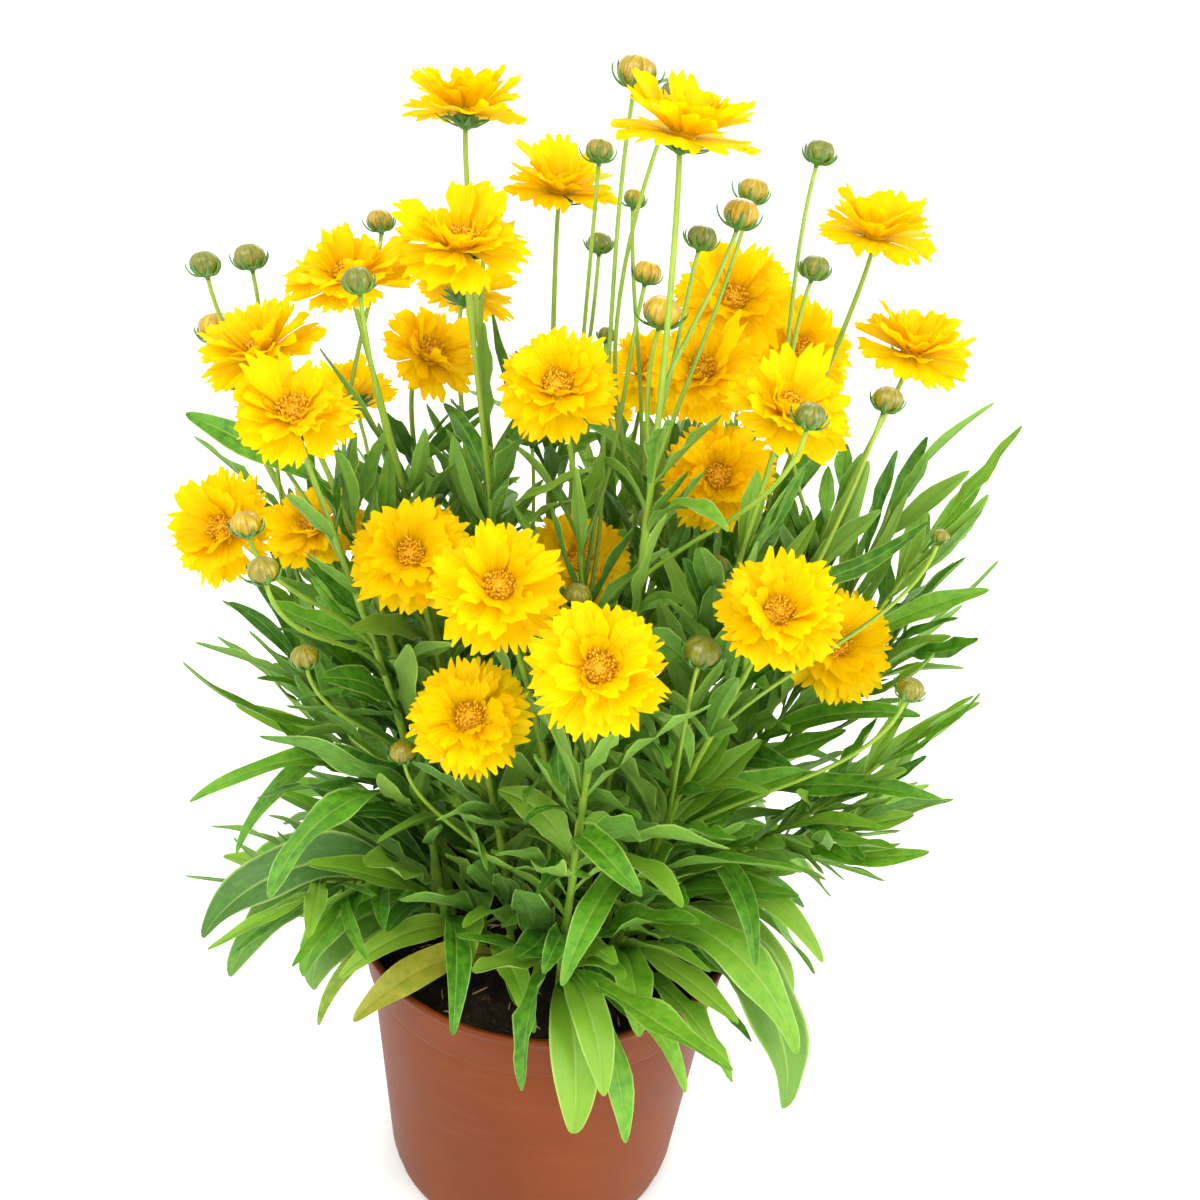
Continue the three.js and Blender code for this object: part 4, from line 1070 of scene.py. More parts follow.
def add_petal(skin, head, layer, draws, angle, long, half, lift, bend, cup, twist, look):
    """A fan-shaped petal with a toothed end, pleated along its length. draws gives its seeds."""
    teeth = layer.teeth
    shift = [between(-NOTCH_SHIFT, NOTCH_SHIFT, *draws, 280 + k) for k in range(teeth + 1)]
    shift = np.array([0, *shift[1:-1], 0])
    notches = np.linspace(-1, 1, teeth + 1) + shift / teeth
    notch = np.array([between(*NOTCH_DEPTH, *draws, 300 + k) for k in range(teeth + 1)])
    notch[[0, -1]] = CORNER_DEPTH
    u, drop = [notches[0]], [notch[0]]
    for k in range(teeth):
        peak = between(*LOBE_DEPTH, *draws, 320 + k)
        lean = between(-LOBE_LEAN, LOBE_LEAN, *draws, 330 + k)
        u += [mix(notches[k], notches[k + 1], share) for share in LOBE_SHOULDERS] + [notches[k + 1]]
        drop += [peak + lean, peak - lean, notch[k + 1]]
    u = np.array(u)
    drop = np.array(drop) + 0.08 * u * u
    v = PETAL_ROWS[:, None]
    reach = v * (1 - smooth_step(0.5, 1.0, v) * drop)
    swell = 0.2 + 0.8 * np.sin(0.5 * np.pi * np.minimum(1, v / 0.84)) ** 1.3
    width = half * u * swell * (1 - 0.08 * smooth_step(0.85, 1.0, v))
    folds = np.cos(np.pi * between(1.5, 2.3, *draws, 339) * u + between(-1.2, 1.2, *draws, 340))
    ruffle = between(-1, 1, *draws, 341) * np.sin(2.2 * np.pi * u + 6 * draw(*draws, 342))
    height = v * (layer.pleat * folds + 0.16 * half * ruffle * v * v) + cup * half * u * u * v
    add_ray(
        skin, head, angle, layer.start, long, lift, bend,
        reach, width, height, PETAL_THICK, PETAL_SLOT, look, twist,
    )


BRACT_ROWS = np.linspace(0, 1, 8)
BRACT_COLUMNS = np.array([-1, -0.45, 0, 0.45, 1])
BRACT_THICK = 0.35


def add_bract(skin, head, angle, start, long, half, lift, bend, look, waist=0.75):
    """A small pointed green leaf of a head, hollowed along its middle."""
    v = BRACT_ROWS[:, None]
    outline = mix(waist, 1, np.sin(np.pi * np.minimum(v * 1.25, 1))) * (1 - v**2.4) + 0.05
    width = half * outline * BRACT_COLUMNS
    height = 0.35 * half * BRACT_COLUMNS**2 * (1 - 0.6 * v)
    reach = np.tile(v, (1, len(BRACT_COLUMNS)))
    add_ray(
        skin, head, angle, start, long, lift, bend,
        reach, width, height, BRACT_THICK, BRACT_SLOT, look,
    )


# ---- Leafy stems: leaf blades, stalks, buds and calyxes ------------------------------------------

LEAF_ROWS = ((90, 22), (50, 13), (0, 8))  # how many rows of points, on leaves longer than this
LEAF_COLUMNS = np.array([-1, -0.78, -0.4, -0.1, 0, 0.1, 0.4, 0.78, 1])
WIDEST_LEAF = 37
BLADE_THICK = 0.4
MIDRIB_THICK = 0.6  # added to the blade's thickness
MIDRIB_GROOVE = 0.45
STALK_SIDES = 10
LEAF_FOLD = (0.02, 0.34)  # how far a blade's sides rise from its midrib, in its half width
STALK_FOLD = 0.9  # the same at its stalk
LEAF_WAVES = (1.4, 3.8)  # along an edge
WAVE_HEIGHT = (0.05, 0.2)  # in the leaf's width
TIP_TAPER = 0.45  # how far a leaf is drawn in to a point at its tip
TIP_CROWDING = 1.35  # over 1, rows of a leaf's mesh lie closer together towards its tip
NODE_SWELL = 0.3  # how much thicker a stem is where leaves leave it
NODE_LENGTH = 2.5


def add_leaf(skin, leaf, curve, draws):
    """A leaf blade with a channelled stalk, a sunk midrib and waved edges."""
    rows = next(rows for long, rows in LEAF_ROWS if leaf.long > long)
    t = 1 - np.linspace(1, 0, rows) ** TIP_CROWDING
    joint = np.array(bezier(curve, leaf.at)) - leaf.start
    mids = np.array([leaf_midrib(leaf, x) for x in t]) + np.outer((1 - t) ** 3, joint)
    ways = np.array([leaf_way(leaf, x) for x in t])
    sides = np.array([leaf_side(leaf, x) for x in t])
    overs = np.cross(ways, sides)
    half = np.array([leaf_half(leaf, min(x, 0.999)) for x in t])
    half = mix(leaf.root, half, smooth_step(0, 0.1, t)) * (1 - TIP_TAPER * smooth_step(0.55, 1, t))
    half += 0.3 * t**8
    u = LEAF_COLUMNS
    fold = mix(STALK_FOLD, between(*LEAF_FOLD, *draws, 401), smooth_step(0, 0.3, t))[:, None]
    waves = between(*LEAF_WAVES, *draws, 402)
    wave = between(*WAVE_HEIGHT, *draws, 403) * leaf.wide * np.sin(np.pi * t)[:, None]
    phase = 2 * np.pi * np.where(u < 0, draw(*draws, 404), draw(*draws, 405))
    edge = wave * np.sin(2 * np.pi * waves * t[:, None] + phase) * u * u
    fullness = np.minimum(1, half / 4)[:, None]
    groove = -MIDRIB_GROOVE * np.exp(-((u / 0.07) ** 2)) * fullness
    height = fold * half[:, None] * np.abs(u) ** 1.3 + edge + groove
    across = half[:, None] * u * (1 - 0.3 * fold * fold)
    tops = mids[:, None] + sides[:, None] * across[..., None] + overs[:, None] * height[..., None]
    overs = np.broadcast_to(overs[:, None], tops.shape)
    thick = BLADE_THICK + MIDRIB_THICK * np.exp(-((u / 0.09) ** 2)) * fullness
    place = np.stack(np.broadcast_arrays(t[:, None], u), -1)
    look = (draw(*draws, 406), leaf.age, leaf.wide / WIDEST_LEAF)
    add_blade(skin, tops, overs, thick, LEAF_SLOT, place, look)


def add_stalk(skin, curve, radius_from, radius_to, steps, nodes, look, below=()):
    """A stem along a curve, thicker at its nodes. below gives the points it has underground."""
    t = np.linspace(0, 1, steps)
    long = size(sub(curve[3], curve[0]))
    radii = mix(radius_from, radius_to, t)
    if nodes:
        away = np.abs(t[:, None] - np.array(nodes)).min(1) * long
        radii = radii * (1 + NODE_SWELL * np.exp(-((away / NODE_LENGTH) ** 2)))
    centres = [*below, *(bezier(curve, x) for x in t)]
    radii = [*[radius_from] * len(below), *radii]
    add_tube(skin, centres, radii, STALK_SIDES, STALK_SLOT, look, ridge=0.05)


# Of a bud's inner part and of the green cup under it, in its diameters: (radius, height).
BUD_PROFILE = (
    (0.12, 0.08), (0.29, 0.12), (0.41, 0.21), (0.46, 0.33), (0.46, 0.44), (0.42, 0.57),
    (0.33, 0.68), (0.2, 0.75), (0.07, 0.77),
)
CUP_PROFILE = ((0.24, 0.05), (0.34, 0.15))
BUD_SEAMS = 8
LEAFY_BUD = 0  # the bud, by number, with one bract as long as a leaf
# How golden some buds are, by number.
RIPE_BUDS = {0: 0.8, 3: 0.4, 4: 0.8, 6: 0.9, 10: 1.0, 18: 1.0, 23: 0.9, 26: 0.5}


def add_bud(skin, branch, neck):
    """A round bud: its folded inner bracts with seams between them, in narrow green bracts."""
    across = branch.bud_size
    k = branch.number
    head = Head(branch.curve[3], branch.tilt)
    look = (draw(k, 1, 501), RIPE_BUDS.get(k, draw(k, 2, 502)), 0)
    turn = between(0, math.pi, k, 3, 503)

    def seams(turns, height):
        ridge = np.abs(np.sin(0.5 * BUD_SEAMS * (turns + turn) + 1.2 * height / across))
        return 1 - 0.13 * (1 - ridge) ** 3

    profile = [(r * across, h * across) for r, h in BUD_PROFILE]
    add_turned(skin, head, profile, 5 * BUD_SEAMS, BUD_SLOT, look, seams)
    cup = [(neck, -1), (1.3 * neck, 0), *((r * across, h * across) for r, h in CUP_PROFILE)]
    add_turned(skin, head, cup, 16, BRACT_SLOT, look)
    for i in range(BUD_SEAMS):
        is_long = k == LEAFY_BUD and i == 0
        add_bract(
            skin, head, turn + full_turn(i + between(-0.15, 0.15, k, i, 504), BUD_SEAMS),
            start=(0.16 * across, 0.04 * across),
            long=1.7 * across if is_long else between(0.6, 0.78, k, i, 505) * across,
            half=between(0.08, 0.11, k, i, 506) * across,
            lift=between(0, 12, k, i, 507),
            bend=0 if is_long else between(74, 104, k, i, 508),
            look=look,
        )


CALYX_PROFILE = ((1.5, -5.6), (2.4, -5.0), (4.1, -3.9), (5.1, -2.3), (5.3, -1.0), (4.6, -0.4))
CALYX_BRACTS = 8  # of each kind


def add_calyx(skin, b):
    """The green cup under a bloom, with broad bracts up against the petals and narrow ones
    spread."""
    head = Head(BLOOMS[b - 1][0], bloom_facing(b))
    look = (draw(b, 1, 521), 0, 0)
    turn = between(0, math.pi, b, 0, 51)
    add_turned(skin, head, CALYX_PROFILE, 20, BRACT_SLOT, look)
    for i in range(CALYX_BRACTS):
        add_bract(
            skin, head, turn + full_turn(i + 0.5, CALYX_BRACTS),
            start=(3.6, -3.7),
            long=between(7, 8.5, b, i, 522),
            half=2.3,
            lift=40,
            bend=-44,
            look=look,
            waist=0.9,
        )
        add_bract(
            skin, head, turn + full_turn(i + between(-0.1, 0.1, b, i, 523), CALYX_BRACTS),
            start=(2.8, -4.4),
            long=between(8.5, 11, b, i, 524),
            half=between(0.8, 1.2, b, i, 525),
            lift=between(2, 14, b, i, 526),
            bend=between(5, 50, b, i, 527),
            look=look,
        )


def add_leaves(skin, leaves, curve, i, first):
    for k, leaf in enumerate(leaves):
        add_leaf(skin, leaf, curve, (i, first + k))


def leafy_stem(i, stem, materials):
    skin = Skin()
    look = (draw(i, 0, 541), 0, 0)
    foot = stem.curve[0]
    nodes = sorted({round(leaf.at, 3) for leaf in stem.leaves})
    buried = (foot[0], foot[1], SOIL.level - HOLE_DEPTH)
    add_stalk(skin, stem.curve, STEM.foot_radius, STEM.neck_radius, 44, nodes, look, [buried])
    add_calyx(skin, stem.b)
    add_leaves(skin, stem.leaves, stem.curve, i, 0)
    for branch in stem.branches:
        curve = (bezier(stem.curve, branch.fork_at), *branch.curve[1:])
        neck = STEM.bud_neck_radius if branch.bud_size else STEM.neck_radius
        add_stalk(skin, curve, STEM.neck_radius, neck, 20, [], look)
        if branch.bud_size:
            add_bud(skin, branch, neck)
        else:
            add_calyx(skin, branch.b)
    for k, shoot in enumerate(stem.shoots):
        curve = (bezier(stem.curve, shoot.fork_at), *shoot.curve[1:])
        nodes = [leaf.at for leaf in shoot.leaves]
        add_stalk(skin, curve, STEM.neck_radius, STEM.shoot_radius, 24, nodes, look)
        add_leaves(skin, shoot.leaves, curve, i, 100 + 20 * k)
    node = f"leafy_stem_{i + 1:02d}"
    stand_for(skin.build(f"fine_{node}", materials), node)


# ---- Blooms --------------------------------------------------------------------------------------

WARM_BLOOMS = {12: 0.3, 14: 0.25, 17: 0.6, 19: 0.4}  # blooms of a deeper gold, by number
# From the outermost to the heart. reach is in the bloom's radii, and so is half, half a petal's
# width. lift is how steep a petal starts, and bend how much it levels out. The outermost layer's
# draws are those of the solid's rays.
PETAL_LAYERS = (
    SimpleNamespace(
        petals=8, shift=0.5, sway=0.14, seeds=(52, 53), reach=(0.96, 1.06), lift=7, lift_by=4,
        bend=-16, half=0.38, start=(4.3, 0.5), teeth=5, pleat=1.0, cup=0.06, twist=12,
    ),
    SimpleNamespace(
        petals=8, shift=0.0, sway=0.34, seeds=(613, 614), reach=(0.76, 0.96), lift=33, lift_by=12,
        bend=-18, half=0.34, start=(4.0, 1.3), teeth=4, pleat=1.0, cup=0.14, twist=20,
    ),
    SimpleNamespace(
        petals=7, shift=0.4, sway=0.34, seeds=(613, 614), reach=(0.54, 0.76), lift=55, lift_by=12,
        bend=-18, half=0.3, start=(4.4, 2.2), teeth=3, pleat=0.7, cup=0.34, twist=36,
    ),
    SimpleNamespace(
        petals=6, shift=0.1, sway=0.34, seeds=(613, 614), reach=(0.34, 0.48), lift=68, lift_by=12,
        bend=-24, half=0.18, start=(5.0, 2.6), teeth=2, pleat=0.3, cup=0.5, twist=50,
    ),
)
DISC_PROFILE = (
    (3.4, -0.1), (4.6, 0.8), (5.2, 2.2), (5.3, 3.2), (4.6, 4.1), (3.0, 4.8), (1.2, 5.1),
)
DISC_RADIUS = 5.3
DISC_TOP = 5.1
DISC_FALL = 2.1  # how much lower the florets stand at its edge
FLORETS = 84
FLORET_SUNK = 0.3  # how deep a floret's foot is in the disc
GOLDEN_ANGLE = math.pi * (3 - math.sqrt(5))
OPEN_FLORETS_FROM = 0.3  # outside this share of the disc's radius its florets are open
# How far along a floret each ring is, and how wide it is there.
OPEN_FLORET = ((0, 1), (0.55, 0.8), (0.9, 1.25), (1, 0.5))
CLOSED_FLORET = ((0, 1), (0.6, 1.1), (1, 0.4))
ANTHERS = 0.5  # the share of the open florets that show one


def add_disc(skin, head, b):
    """The heart: a low dome of small closed florets, in a ring of open ones with golden anthers."""
    look = (0, 0, 0)
    add_turned(skin, head, DISC_PROFILE, 28, DISC_SLOT, look)
    for k in range(FLORETS):
        share = math.sqrt((k + 0.5) / FLORETS)
        turn = k * GOLDEN_ANGLE
        radius = share * DISC_RADIUS
        is_open = share > OPEN_FLORETS_FROM
        low = DISC_TOP - DISC_FALL * share**3 - FLORET_SUNK
        tall = between(1.2, 3.2, b, k, 603) if is_open else between(0.6, 0.9, b, k, 603)
        wide = 0.42 if is_open else 0.36
        lean = (between(-0.4, 0.4, b, k, 604) + 0.4 * share, between(-0.45, 0.45, b, k, 605))
        out = np.array([math.cos(turn), math.sin(turn), 0])
        side = np.array([-math.sin(turn), math.cos(turn), 0])
        foot = radius * out + np.array([0, 0, low])
        way = lean[0] * out + lean[1] * side + np.array([0, 0, 1.0])
        stops = OPEN_FLORET if is_open else CLOSED_FLORET
        places = [head.place(foot + way * tall * along) for along, _ in stops]
        add_tube(skin, places, [wide * swell for _, swell in stops], 5, DISC_SLOT, look)
        if is_open and draw(b, k, 606) < ANTHERS:
            anther = [head.place(foot + way * (tall + rise)) for rise in (-0.2, 0.35, 0.9)]
            add_tube(skin, anther, [0.22, 0.3, 0.16], 4, ANTHER_SLOT, look)


def bloom(b, materials):
    at, _, across = BLOOMS[b - 1]
    head = Head(at, bloom_facing(b))
    skin = Skin()
    turn = between(0, math.pi, b, 0, 51)
    warm = WARM_BLOOMS.get(b, between(0, 0.15, b, 0, 611))
    for row, layer in enumerate(PETAL_LAYERS):
        for i in range(layer.petals):
            draws = (b, i + 100 * row)
            sway = between(-layer.sway, layer.sway, *draws, 612)
            reach_seed, lift_seed = layer.seeds
            radius = 0.5 * across * between(*layer.reach, *draws, reach_seed)
            lift = layer.lift + between(-layer.lift_by, layer.lift_by, *draws, lift_seed)
            add_petal(
                skin, head, layer, draws, turn + full_turn(i + layer.shift + sway, layer.petals),
                long=(radius - layer.start[0]) / math.cos(math.radians(lift + 0.5 * layer.bend)),
                half=layer.half * 0.5 * across * between(0.7, 1.08, *draws, 615),
                lift=lift,
                bend=layer.bend + between(-16, 14, *draws, 616),
                cup=layer.cup * between(-0.3, 1.3, *draws, 617),
                twist=between(-layer.twist, layer.twist, *draws, 618),
                look=(draw(*draws, 619), warm, 0),
            )
    add_disc(skin, head, b)
    node = f"bloom_{b:02d}"
    stand_for(skin.build(f"fine_{node}", materials), node)


# ---- Pot and soil --------------------------------------------------------------------------------

POT_SIDES = 144
DRAIN_SIDES = 24
DRAIN_TILT = 0.6
DRAIN_REACH = 15
SOIL_RINGS = 46
SOIL_SIDES = 132
CRUMBS = 420
CHIPS = 90
SOIL_SLOT, CHIP_SLOT = range(2)  # material slots of the soil's piece


def arc(centre, radius, start, end, count):
    """Points of an arc in (radius, height), with angles in degrees from outward towards up."""
    angles = np.radians(np.linspace(start, end, count))
    return [(centre[0] + radius * math.cos(a), centre[1] + radius * math.sin(a)) for a in angles]


def wall_at(z):
    return mix(POT.foot_radius, POT.rim_radius, z / POT.height)


def pot_profile():
    """From the middle of the foot, up outside, over the rolled lip and down inside."""
    step = POT.height - POT.step_drop
    bead = 0.5 * POT.bead_height
    lip_low = POT.height - POT.bead_height
    foot = arc((wall_at(0) - POT.foot_round, POT.foot_round), POT.foot_round, -88, -12, 7)
    outside = [(wall_at(z), z) for z in (8, 25, 50, 75, 100, 118)]
    collar = [
        (wall_at(step) - POT.step_depth, step - 1.2),
        (wall_at(step) - POT.step_depth, step),
        (wall_at(step) - 0.4 * POT.step_depth, step + 0.6),
        (wall_at(step), step + 1.3),
        (wall_at(step + 2.5), step + 2.5),
        (wall_at(lip_low - 3), lip_low - 3),
        (wall_at(lip_low), lip_low - 0.3),
    ]
    lip = arc((POT.rim_radius + POT.bead_depth - bead, POT.height - bead), bead, -70, 90, 9)
    shoulder = arc((POT.rim_radius - POT.wall + 1, POT.height - 1.2), 1.0, 90, 180, 5)
    inside = [
        (wall_at(step) - POT.wall - POT.step_depth, step),
        (wall_at(0.5 * step) - POT.wall - POT.step_depth, 0.5 * step),
        (wall_at(POT.floor) - POT.wall - 3, POT.floor + 2),
        (wall_at(POT.floor) - POT.wall - 5, POT.floor),
    ]
    sunk = [(wall_at(z) - POT.step_depth * z / step, z) for _, z in outside]
    under = [(0.8, 0), (30, 0), (wall_at(0) - 14, 0)]
    middle = [(0.8, POT.floor)]
    return [*under, *foot, *sunk, *collar, *lip, *shoulder, *inside, *middle]


def drain_cutter(i):
    """A tilted cylinder through the corner of the foot."""
    angle = full_turn(i + 0.5, POT.drain_holes)
    outward = np.array([math.cos(angle), math.sin(angle), 0])
    middle = (POT.foot_radius - 2) * outward + (0, 0, POT.floor)
    way = math.cos(DRAIN_TILT) * outward - (0, 0, math.sin(DRAIN_TILT))
    skin = Skin()
    ends = [middle - DRAIN_REACH * way, middle + DRAIN_REACH * way]
    add_tube(skin, ends, [POT.drain_radius] * 2, DRAIN_SIDES, 0, (0, 0, 0))
    return skin.build(f"drain_cutter_{i}", [])


def apply_modifiers(piece):
    """Puts the shape that a piece's modifiers give into its mesh."""
    seen = piece.evaluated_get(bpy.context.evaluated_depsgraph_get())
    mesh = bpy.data.meshes.new_from_object(seen)
    piece.modifiers.clear()
    piece.data = mesh


def pot(material):
    skin = Skin()
    head = Head((0, 0, 0), (0, 0, 1))
    add_turned(skin, head, pot_profile(), POT_SIDES, 0, (0.5, 0, 0))
    piece = skin.build("fine_pot", [material])
    cutters = [drain_cutter(i) for i in range(POT.drain_holes)]
    for cutter in cutters:
        cut = piece.modifiers.new("drain", "BOOLEAN")
        cut.operation = "DIFFERENCE"
        cut.solver = "EXACT"
        cut.object = cutter
    bpy.context.view_layer.update()
    apply_modifiers(piece)
    for cutter in cutters:
        bpy.data.objects.remove(cutter)
    stand_for(piece, "pot")


def soil_height(x, y):
    """The lumpy top of the soil, a little higher round the crown and lower at the wall."""
    out = math.hypot(x, y)
    level = SOIL.level + SOIL.crown * max(0, 1 - out / (0.5 * POT.rim_radius))
    edge = wall_at(SOIL.level) - 10
    lumps = 2.2 * noise.fractal(Vector((x, y, 7)) * 0.07, 0.8, 2.1, 5)
    return level + lumps - 5 * float(smooth_step(edge - 4, edge + 6, out))


def soil(materials):
    inset = POT.wall + SOIL.edge_gap + 0.6
    step = POT.height - POT.step_drop
    reach = wall_at(SOIL.level - 6) - inset - POT.step_depth
    turns = even_turns(SOIL_SIDES)
    rings = []
    for radius, height in (
        (2, POT.floor + 0.4),
        (wall_at(POT.floor) - inset - 6, POT.floor + 0.4),
        (wall_at(POT.floor) - inset - 4, POT.floor + 3),
        (wall_at(step) - inset - POT.step_depth, step),
    ):
        rings.append([(radius * math.cos(a), radius * math.sin(a), height) for a in turns])
    for share in np.linspace(1, 0.01, SOIL_RINGS):
        flat = [(reach * share * math.cos(a), reach * share * math.sin(a)) for a in turns]
        rings.append([(x, y, soil_height(x, y)) for x, y in flat])
    skin = Skin()
    add_rings(skin, np.array(rings), SOIL_SLOT, (0.5, 0, 0))
    for k in range(CRUMBS):
        add_crumb(skin, k, reach)
    for k in range(CHIPS):
        add_chip(skin, k, reach)
    stand_for(skin.build("fine_soil", materials), "soil")


def soil_place(k, draws, reach):
    """A place on the soil, more often towards its edge, where it shows."""
    radius = (reach - 4) * draw(k, draws, 701) ** 0.42
    turn = 2 * math.pi * draw(k, draws, 702)
    x, y = radius * math.cos(turn), radius * math.sin(turn)
    return np.array([x, y, soil_height(x, y)])


def add_crumb(skin, k, reach):
    """An uneven lump of soil or bark."""
    wide = between(0.8, 2.9, k, 1, 703) * between(0.5, 1, k, 2, 703)
    at = soil_place(k, 1, reach) + (0, 0, 0.25 * wide)
    way = heading(360 * draw(k, 3, 704), between(-50, 50, k, 4, 705))
    stops = ((-1, 0.25), (-0.6, 0.8), (0, 1), (0.55, 0.75), (0.95, 0.3))
    places = [at + np.array(way) * wide * along for along, _ in stops]
    radii = [
        0.8 * wide * swell * between(0.7, 1.2, k, i, 706) for i, (_, swell) in enumerate(stops)
    ]
    add_tube(skin, places, radii, 6, SOIL_SLOT, (draw(k, 5, 707), 0, 0), ridge=0.12)


def add_chip(skin, k, reach):
    """A chip of straw or wood that lies on the soil."""
    long = between(3, 12, k, 1, 711)
    at = soil_place(k, 2, reach) + (0, 0, 0.7)
    way = np.array(heading(360 * draw(k, 2, 712), between(-12, 14, k, 3, 713)))
    bow = np.array([0, 0, between(-0.4, 0.8, k, 4, 714)])
    places = [at + way * long * s + bow * (1 - (2 * s) ** 2) for s in (-0.5, -0.25, 0, 0.25, 0.5)]
    wide = between(0.25, 0.6, k, 5, 715)
    radii = [0.5 * wide, wide, wide, wide, 0.4 * wide]
    add_tube(skin, places, radii, 4, CHIP_SLOT, (draw(k, 6, 716), 0, 0))


# ---- Materials -----------------------------------------------------------------------------------


def srgb(red, green, blue):
    """A colour given as on a screen, from 0 to 255, as the shaders' light."""
    parts = [c / 255 for c in (red, green, blue)]
    return (*(c / 12.92 if c <= 0.04045 else ((c + 0.055) / 1.055) ** 2.4 for c in parts), 1)


class Paint:
    """A material's nodes, laid by short calls."""

    def __init__(self, name):
        self.material = bpy.data.materials.new(name)
        self.material.use_nodes = True
        self.nodes = self.material.node_tree.nodes
        self.nodes.clear()
        self.output = self.nodes.new("ShaderNodeOutputMaterial")

    def put(self, socket, value):
        """Links a socket, or sets it to a number, or to a colour given as on a screen."""
        if isinstance(value, bpy.types.NodeSocket):
            self.material.node_tree.links.new(value, socket)
        elif isinstance(value, tuple):
            socket.default_value = srgb(*value)
        elif value is not None:
            socket.default_value = value

    def node(self, kind, inputs, **settings):
        made = self.nodes.new("ShaderNode" + kind)
        for key, value in settings.items():
            setattr(made, key, value)
        for key, value in inputs.items():
            self.put(made.inputs[key], value)
        return made

    def attribute(self, name):
        """The three numbers of an attribute."""
        read = self.node("Attribute", {}, attribute_name=name)
        return self.node("SeparateXYZ", {0: read.outputs["Vector"]}).outputs

    def calc(self, kind, a, b=None):
        """One step of arithmetic."""
        return self.node("Math", {0: a, 1: b}, operation=kind).outputs[0]

    def plus(self, a, b):
        return self.calc("ADD", a, b)

    def times(self, a, b):
        return self.calc("MULTIPLY", a, b)

    def spread(self, value, low, high, to_low=0.0, to_high=1.0):
        """value from low..high, eased to to_low..to_high."""
        inputs = {0: value, 1: low, 2: high, 3: to_low, 4: to_high}
        return self.node("MapRange", inputs, interpolation_type="SMOOTHSTEP").outputs[0]

    def noise(self, scale, detail=3.0, rough=0.55, at=None, warp=0.0):
        inputs = {"Vector": at, "Scale": scale, "Detail": detail, "Roughness": rough}
        return self.node("TexNoise", inputs | {"Distortion": warp}).outputs["Fac"]

    def ramp(self, value, stops):
        """A colour that goes from stop to stop, each (position, colour), as value rises."""
        made = self.node("ValToRGB", {0: value})
        points = made.color_ramp.elements
        places, colours = zip(*((place, srgb(*colour)) for place, colour in stops))
        points[0].position, points[0].color = places[0], colours[0]
        points[1].position, points[1].color = places[-1], colours[-1]
        for place, colour in zip(places[1:-1], colours[1:-1]):
            points.new(place).color = colour
        return made.outputs["Color"]

    def blend(self, share, a, b):
        made = self.node("Mix", {0: share}, data_type="RGBA")
        self.put(made.inputs[6], a)
        self.put(made.inputs[7], b)
        return made.outputs[2]

    def vector(self, x, y, z):
        return self.node("CombineXYZ", {0: x, 1: y, 2: z}).outputs[0]

    def where(self):
        """The place in the plant's frame, in metres."""
        return self.node("TexCoord", {}).outputs["Object"]

    def bump(self, height, distance, strength=0.6):
        inputs = {"Height": height, "Distance": distance, "Strength": strength}
        return self.node("Bump", inputs).outputs[0]

    def finish(self, colour, roughness, normal=None, through=0.0, glow=None, specular=None):
        """The shader: a surface and, for thin tissue, light of the colour glow shining through."""
        inputs = {"Base Color": colour, "Roughness": roughness, "Normal": normal}
        inputs["Specular IOR Level"] = specular
        surface = self.node("BsdfPrincipled", inputs).outputs[0]
        if through:
            lit = self.node("BsdfTranslucent", {"Color": glow, "Normal": normal}).outputs[0]
            surface = self.node("MixShader", {0: through, 1: surface, 2: lit}).outputs[0]
        self.put(self.output.inputs["Surface"], surface)
        return self.material


def leaf_material():
    """Fresh green, mottled, with a fine pale midrib and margin. The broadest leaves are a duller
    green, and old ones have gone yellow."""
    p = Paint("leaf")
    along, across, under = p.attribute("place")
    tint, age, breadth = p.attribute("look")
    side = p.calc("ABSOLUTE", across)
    mottle = p.noise(240, 4, at=p.where())
    shade = p.plus(tint, p.spread(mottle, 0.25, 0.75, -0.22, 0.22))
    greens = (
        (0.0, (48, 112, 14)), (0.35, (92, 160, 24)), (0.7, (124, 178, 38)), (1.0, (134, 178, 46)),
    )
    green = p.ramp(shade, greens)
    green = p.blend(p.spread(breadth, 0.63, 0.71, 0.0, 0.5), green, (92, 132, 64))
    green = p.blend(p.spread(along, 0.0, 0.25, 0.3, 0.0), green, (136, 178, 66))
    rib = p.spread(side, 0.02, 0.09, 0.65, 0.0)
    nerve = p.spread(p.calc("ABSOLUTE", p.calc("SUBTRACT", side, 0.47)), 0.0, 0.05, 0.1, 0.0)
    vein_way = p.calc("SUBTRACT", p.times(along, 22.0), p.times(side, 6.0))
    vein = p.spread(p.calc("PINGPONG", vein_way, 1.0), 0.0, 0.2, 0.07, 0.0)
    lines = p.calc("MAXIMUM", p.calc("MAXIMUM", rib, nerve), vein)
    green = p.blend(lines, green, (164, 196, 92))
    green = p.blend(p.spread(side, 0.87, 0.98, 0.0, 0.75), green, (184, 210, 112))
    green = p.blend(p.times(under, 0.4), green, (128, 166, 82))
    gold = p.ramp(mottle, ((0.3, (150, 142, 36)), (0.7, (192, 174, 60))))
    green = p.blend(p.times(age, p.spread(mottle, 0.2, 0.5, 0.6, 1.0)), green, gold)
    grain = p.noise(900, 3, at=p.where())
    relief = p.plus(p.times(lines, -1.0), p.times(grain, 0.6))
    rough = p.spread(mottle, 0.2, 0.8, 0.45, 0.6)
    glow = p.blend(0.5, green, (134, 176, 26))
    return p.finish(green, rough, p.bump(relief, 0.0006, 0.5), 0.28, glow)


